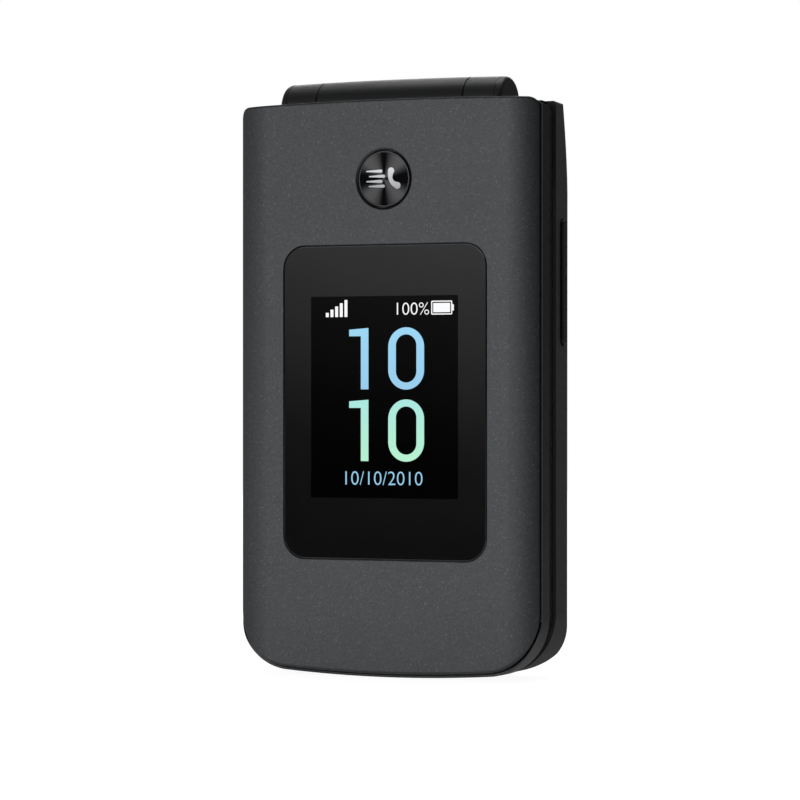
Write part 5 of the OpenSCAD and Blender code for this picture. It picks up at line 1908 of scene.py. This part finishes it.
@dataclass
class Keypad:
    """The eighteen keys of the base, with plain numerals and signs.

    Args:
        edge_r: Rounding of a key's edge.
        flange: Width of the flange that keeps a key in.
        flange_t: Thickness of that flange.
        corner_r: Radius of a key's corners.
        print_t: Thickness of the print.
        bore_r: Inner radius of the navigation ring.
        numeral_h: Height of a numeral.
        star_h: Height of the star.
        handset: Half the length, the head's height and the bend of a handset sign.
        arrow: How far an arrow reaches out and in from the ring's middle line, and half its width.
        numerals: What is printed on the number keys.
    """

    edge_r: float = 0.4
    flange: float = 0.35
    flange_t: float = 0.2
    corner_r: float = 2.2
    print_t: float = 0.02
    bore_r: float = 5.2
    numeral_h: float = 4.2
    star_h: float = 2.0
    handset: Place = (2.1, 0.9, 3.0)
    arrow: Place = (0.6, 0.35, 0.95)
    numerals: str = "123456789*0#"

    def build(self) -> None:
        """Models the number keys, the keys at their sides, the ring and the select key."""
        for sign in self.numerals:
            node = "key_" + {"*": "star", "#": "hash"}.get(sign, sign)
            box = NodeBox(node)
            height = self.star_h if sign == "*" else self.numeral_h
            mark = lettering("mark", sign, height, box.spot, self._print_levels(box))
            self._hand_over(self._cap(node, box), mark, KEY_PRINT, node)
        for node in ("key_call", "key_end", "key_soft_left", "key_soft_right"):
            box = NodeBox(node)
            mark, ink = self._side_mark(node, box)
            self._hand_over(self._cap(node, box), mark, ink, node)
        self._ring()
        self._select()

    def _print_levels(self, box: NodeBox) -> Step:
        """Gives the places of a print's back and front, on a key's face."""
        return box.low.y + 2 * self.print_t, box.low.y

    def _mark(self, outline: Outline, box: NodeBox) -> Piece:
        """Models a mark on a key's face."""
        return loft("mark", outline, [(0.0, level) for level in self._print_levels(box)])

    def _steps(self, box: NodeBox) -> list[Step]:
        """Gives the steps of a key from its flange to its rounded face."""
        back, face = box.high.y, box.low.y + self.print_t
        steps = [(-self.flange, back), (-self.flange, back - self.flange_t), (0.0, back - self.flange_t)]
        return steps + quarter_round(self.edge_r, 0.0, face, -1)

    def _cap(self, node: str, box: NodeBox) -> Piece:
        """Models a key with round corners."""
        width, height = box.size.x - 2 * self.flange, box.size.z - 2 * self.flange
        outline = rounded_rectangle(width, height, self.corner_r, box.spot, 8)
        return loft(f"{node}_cap", outline, self._steps(box))

    def _side_mark(self, node: str, box: NodeBox) -> tuple[Piece, Finish]:
        """Models the sign of a side key: a handset, or a short bar on a soft key.

        Args:
            node: The key's node.
            box: The key's box.

        Returns:
            The sign and its finish.
        """
        x, z = box.spot
        if "soft" in node:
            return self._mark(rounded_rectangle(3.6, 0.6, 0.3, (x, z), 4), box), KEY_PRINT
        up = 1 if node == "key_call" else -1
        half, head, drop = self.handset
        bend = [(x - half + 2 * half * i / 12, z + up * (head - drop * math.sin(math.pi * i / 12)) * 0.5)
                for i in range(13)]
        widths = [0.75 - 0.35 * math.sin(math.pi * i / 12) ** 0.5 for i in range(13)]
        ink = CALL_INK if node == "key_call" else END_INK
        return self._mark(tapered_stroke(bend, widths), box), ink

    def _hand_over(self, cap: Piece, mark: Piece, ink: Finish, node: str,
                   finish: Finish | None = None) -> None:
        """Prints a mark on a key and hands the key over.

        Args:
            cap: The key.
            mark: The mark on it.
            ink: The mark's finish.
            node: The key's node.
            finish: The key's finish, if it isn't the usual one.
        """
        finish = finish or KEY_PLASTIC
        cap.data.materials.append(finish.material())
        mark.data.materials.append(ink.material())
        slot = {"key_call": "call_key_plastic", "key_end": "end_key_plastic", "nav_ring": "ring_plastic"}
        hand_over(join(cap, mark), finish, node, slot.get(node, "key_plastic"), node)

    def _ring(self) -> None:
        """Models the navigation ring with four small arrows."""
        box = NodeBox("nav_ring")
        middle = box.spot
        radius = box.size.x / 2 - self.flange
        ring = loft("nav_ring_cap", disc(radius, middle, 128), self._steps(box))
        face = box.low.y + self.print_t
        bore = [(0.0, box.high.y + 1.0), (0.0, face + 0.3), (-0.09, face + 0.09), (-0.3, face),
                (-0.3, face - 1.0)]
        carve(ring, loft("bore_tool", disc(self.bore_r, middle, 96), bore))
        reach = (radius + self.bore_r) / 2
        ahead, behind, half = self.arrow
        arrows = []
        for quarter in range(4):
            a = math.pi / 2 * quarter
            out, side = Vector((math.cos(a), math.sin(a))), Vector((-math.sin(a), math.cos(a)))
            tip, foot = Vector(middle) + out * (reach + ahead), Vector(middle) + out * (reach - behind)
            corners = [tuple(tip), tuple(foot + side * half), tuple(foot - side * half)]
            arrows.append(self._mark(polygon(corners), box))
        self._hand_over(ring, join(arrows[0], *arrows[1:]), KEY_PRINT, "nav_ring", RING_METAL)

    def _select(self) -> None:
        """Models the select key with a dot."""
        box = NodeBox("select_key")
        middle = box.spot
        face = box.low.y + self.print_t
        key = loft("select_key_cap", disc(box.size.x / 2, middle, 96),
                   [(0.0, box.high.y)] + quarter_round(self.edge_r, 0.0, face, -1))
        self._hand_over(key, self._mark(disc(0.6, middle, 24), box), KEY_PRINT, "select_key")


# --- What is carried over from the frame ---


@dataclass
class CarriedPieces:
    """The nodes that keep their own shape and get a finish of their own.

    Args:
        finishes: Each finish with the nodes that take it.
    """

    finishes: tuple[tuple[Finish, tuple[str, ...]], ...] = (
        (SCREEN_GLOSS, ("outer_display", "main_display")),
        (TINNED, ("button_switch", "shield_cans", "usb_socket", "sim_holder", "microphone", "vibration_motor")),
        (BOARD, ("lid_board", "main_board", "side_key_board")),
        (MODULE, ("earpiece", "loudspeaker", "camera_module", "headphone_jack")),
        (GRILLE, ("earpiece_mesh", "speaker_mesh")),
        (RUBBER, ("lid_bumpers",)),
        (SCREW_STEEL, ("lid_screws", "base_screws")),
        (HINGE_STEEL, ("hinge_cartridge", "cam_follower", "cam_shaft", "hollow_pin")),
        (SPRING_STEEL, ("cam_spring",)),
        (BUSHING, ("pin_bushing",)),
        (FLEX_FILM, ("hinge_flex",)),
        (BATTERY_WRAP, ("battery",)),
        (GOLD, ("battery_contacts",)),
        (MAT_RUBBER, ("key_mat",)),
        (DOME_FILM, ("dome_sheet",)),
        (LENS_GLOSS, ("camera_lens",)),
        (FLASH_LENS, ("flash_lens",)),
    )

    def build(self) -> None:
        """Gives each node its finish."""
        for finish, nodes in self.finishes:
            for node in nodes:
                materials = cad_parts[node].data.materials
                materials.clear()
                materials.append(finish.material())
                log.info("%s is finished in %s", node, finish.name)


# --- Studio ---


@dataclass
class Studio:
    """The floor, the lights and the camera.

    Args:
        eye: The camera's place, in metres.
        turn: How far the camera is turned from looking straight back, in degrees.
        lens: The camera's focal length.
        ambient: Brightness of the surroundings, for all that isn't seen directly.
        left_wall: Brightness of the wall at the left, in reflections.
        back_wall: Brightness of the wall behind, in reflections.
        dim_wall: Brightness of all other surroundings, in reflections.
        floor_before: Brightness of the floor before the phone, in reflections.
        floor_behind: Brightness of the floor behind it, in reflections.
        floor_right: The share of that brightness that is left to the right of the phone.
        floor_white: Brightness of the floor where it is seen.
        aim: The place that the lamps point at.
        lamps: Each lamp's name, place, size and power.
        card_middle: The middle of the glowing card's foot.
        card_along: The direction that its foot runs in.
        card_size: Half its width, and its height.
        card_rise: Where its glow starts and where it is full.
        card_lean: How much the glow climbs to the right.
        card_glow: Strength of that glow.
    """

    eye: Place = (0.24574, -0.53779, 0.0481)
    turn: float = 24.65
    lens: float = 151.57
    ambient: float = 0.28
    left_wall: float = 0.3
    back_wall: float = 0.07
    dim_wall: float = 0.03
    floor_before: float = 1.25
    floor_behind: float = 0.25
    floor_right: float = 0.25
    floor_white: float = 1.25
    aim: Place = (0.0, 0.0, 0.05)
    lamps: tuple[tuple[str, Place, Point, float], ...] = (
        ("overhead_lamp", (0.0, 0.2, 0.75), (0.7, 0.4), 2.0),
        ("key_lamp", (-0.36, -1.05, 0.14), (0.4, 0.24), 3.05),
        ("back_lamp", (-0.4, 0.95, 0.5), (0.7, 0.7), 4.0))
    card_middle: Place = (-0.125, -0.273, 0.0)
    card_along: Place = (0.9085, -0.418, 0.0)
    card_size: Point = (0.11, 0.105)
    card_rise: Point = (0.033, 0.101)
    card_lean: float = 0.165
    card_glow: float = 0.62

    def build(self) -> None:
        """Sets up the view, the surroundings, the floor, the lamps and the camera."""
        bpy.context.scene.view_settings.view_transform = "Standard"
        self._world()
        self._floor()
        for lamp in self.lamps:
            self._lamp(*lamp)
        self._card()
        self._camera()

    def _world(self) -> None:
        """Makes surroundings that are white where they are seen, and that polished pieces mirror softly."""
        world = bpy.data.worlds.new("surroundings")
        wiring = Wiring.of(world)
        seen, glossy = self._rays(wiring)
        mirrored = wiring.math("MULTIPLY", glossy, self._mirrored_strength(wiring))
        soft = wiring.math("MULTIPLY", wiring.math("SUBTRACT", 1.0, glossy), self.ambient)
        strength = wiring.math("MAXIMUM", seen, wiring.math("ADD", mirrored, soft))
        ground = wiring.add("ShaderNodeBackground", Color=WHITE, Strength=strength)
        wiring.finish(ground, "ShaderNodeOutputWorld")
        bpy.context.scene.world = world

    @staticmethod
    def _rays(wiring: Wiring) -> tuple[Socket, Socket]:
        """Gives what marks the rays that see a place directly or through glass, and the ones that mirror it."""
        path = wiring.add("ShaderNodeLightPath")
        seen = wiring.math("MAXIMUM", path.outputs["Is Camera Ray"], path.outputs["Is Transmission Ray"])
        return seen, path.outputs["Is Glossy Ray"]

    def _mirrored_strength(self, wiring: Wiring) -> Socket:
        """Gives each direction's brightness in a reflection: white walls stand to the left and behind.

        Args:
            wiring: The world's tree.

        Returns:
            The strength.
        """
        way = wiring.add("ShaderNodeSeparateXYZ", Vector=wiring.add("ShaderNodeTexCoord").outputs["Generated"])
        left = wiring.span(way.outputs["X"], -0.5, -0.98, 0.0, self.left_wall)
        low = wiring.span(way.outputs["Z"], 0.7, 0.3)
        behind = wiring.span(way.outputs["Y"], 0.3, 0.9, 0.0, self.back_wall)
        walls = wiring.math("MULTIPLY_ADD", left, low, behind)
        return wiring.math("ADD", walls, self.dim_wall)

    def _floor(self) -> None:
        """Lays a pale floor that keeps the phone's shadow."""
        bpy.ops.object.select_all(action="DESELECT")
        bpy.ops.mesh.primitive_plane_add(size=12.0, location=(0.0, 0.0, -0.00005))
        floor = bpy.context.active_object
        floor.name = "floor"
        bpy.ops.object.transform_apply(location=True)
        material = bpy.data.materials.new("Pale floor")
        wiring = Wiring.of(material)
        pale = wiring.add("ShaderNodeBsdfDiffuse", Color=(0.86, 0.86, 0.86, 1.0))
        seen, glossy = self._rays(wiring)
        axes = wiring.add("ShaderNodeSeparateXYZ", Vector=wiring.add("ShaderNodeTexCoord").outputs["Object"])
        share = wiring.span(axes.outputs["Y"], 0.02, -0.08, self.floor_behind, self.floor_before)
        share = wiring.math("MULTIPLY", share, wiring.span(axes.outputs["X"], 0.03, 0.2, 1.0, self.floor_right))
        strength = wiring.math("MAXIMUM", wiring.math("MULTIPLY", seen, self.floor_white), share)
        white = wiring.add("ShaderNodeEmission", Color=WHITE, Strength=strength)
        mixed = wiring.add("ShaderNodeMixShader",
                           Fac=wiring.math("MULTIPLY", wiring.math("MAXIMUM", glossy, seen), 0.75))
        wiring.feed(mixed, 1, pale.outputs[0])
        wiring.feed(mixed, 2, white.outputs[0])
        wiring.finish(mixed)
        floor.data.materials.append(material)

    def _lamp(self, name: str, at: Place, size: Point, watts: float) -> None:
        """Hangs a soft rectangular lamp that points at the phone.

        Args:
            name: Its name.
            at: Its place.
            size: Its width and height.
            watts: Its power.
        """
        data = bpy.data.lights.new(name, "AREA")
        data.shape = "RECTANGLE"
        data.size, data.size_y = size
        data.energy = watts
        lamp = bpy.data.objects.new(name, data)
        lamp.location = at
        lamp.rotation_euler = (Vector(self.aim) - Vector(at)).to_track_quat("-Z", "Y").to_euler()
        bpy.context.scene.collection.objects.link(lamp)

    def _card(self) -> None:
        """Stands a card that glows more towards its head where the polished window mirrors it."""
        bpy.ops.object.select_all(action="DESELECT")
        bpy.ops.mesh.primitive_plane_add(size=1.0)
        card = bpy.context.active_object
        card.name = "glow_card"
        half_w, high = self.card_size
        middle, along = Vector(self.card_middle), Vector(self.card_along)
        for vert in card.data.vertices:
            side, up = (1 if vert.co.x > 0 else -1), (high if vert.co.y > 0 else 0.0)
            vert.co = middle + along * half_w * side + Vector((0.0, 0.0, up))
        material = bpy.data.materials.new("Glow card")
        wiring = Wiring.of(material)
        axes = wiring.add("ShaderNodeSeparateXYZ", Vector=wiring.add("ShaderNodeTexCoord").outputs["Object"])
        right = wiring.math("ADD", axes.outputs["X"], -middle.x)
        lean = wiring.math("MULTIPLY_ADD", right, self.card_lean, axes.outputs["Z"])
        rise = wiring.math("POWER", wiring.span(lean, *self.card_rise), 1.3)
        wiring.finish(wiring.add("ShaderNodeEmission", Strength=wiring.math("MULTIPLY", rise, self.card_glow)))
        card.data.materials.append(material)
        card.visible_camera = card.visible_diffuse = card.visible_shadow = card.visible_transmission = False

    def _camera(self) -> None:
        """Sets the camera level with the phone's middle, to the right of its front."""
        data = bpy.data.cameras.new("camera")
        data.lens = self.lens
        data.sensor_width = 36.0
        data.clip_start = 0.01
        camera = bpy.data.objects.new("camera", data)
        camera.location = self.eye
        camera.rotation_euler = (math.radians(90.0), 0.0, math.radians(self.turn))
        bpy.context.scene.collection.objects.link(camera)
        bpy.context.scene.camera = camera


def main() -> None:
    """Builds the studio and then the phone, from the lid to the base."""
    logging.basicConfig(level=logging.INFO, format="%(name)s: %(message)s")
    Studio().build()
    LidCover().build()
    OuterWindow().build()
    CallButton().build()
    LidFrame().build()
    HingeBarrel().build()
    BaseShells().build()
    BatteryCover().build()
    VolumeRocker().build()
    Keypad().build()
    CarriedPieces().build()


if __name__ == "__main__":
    main()
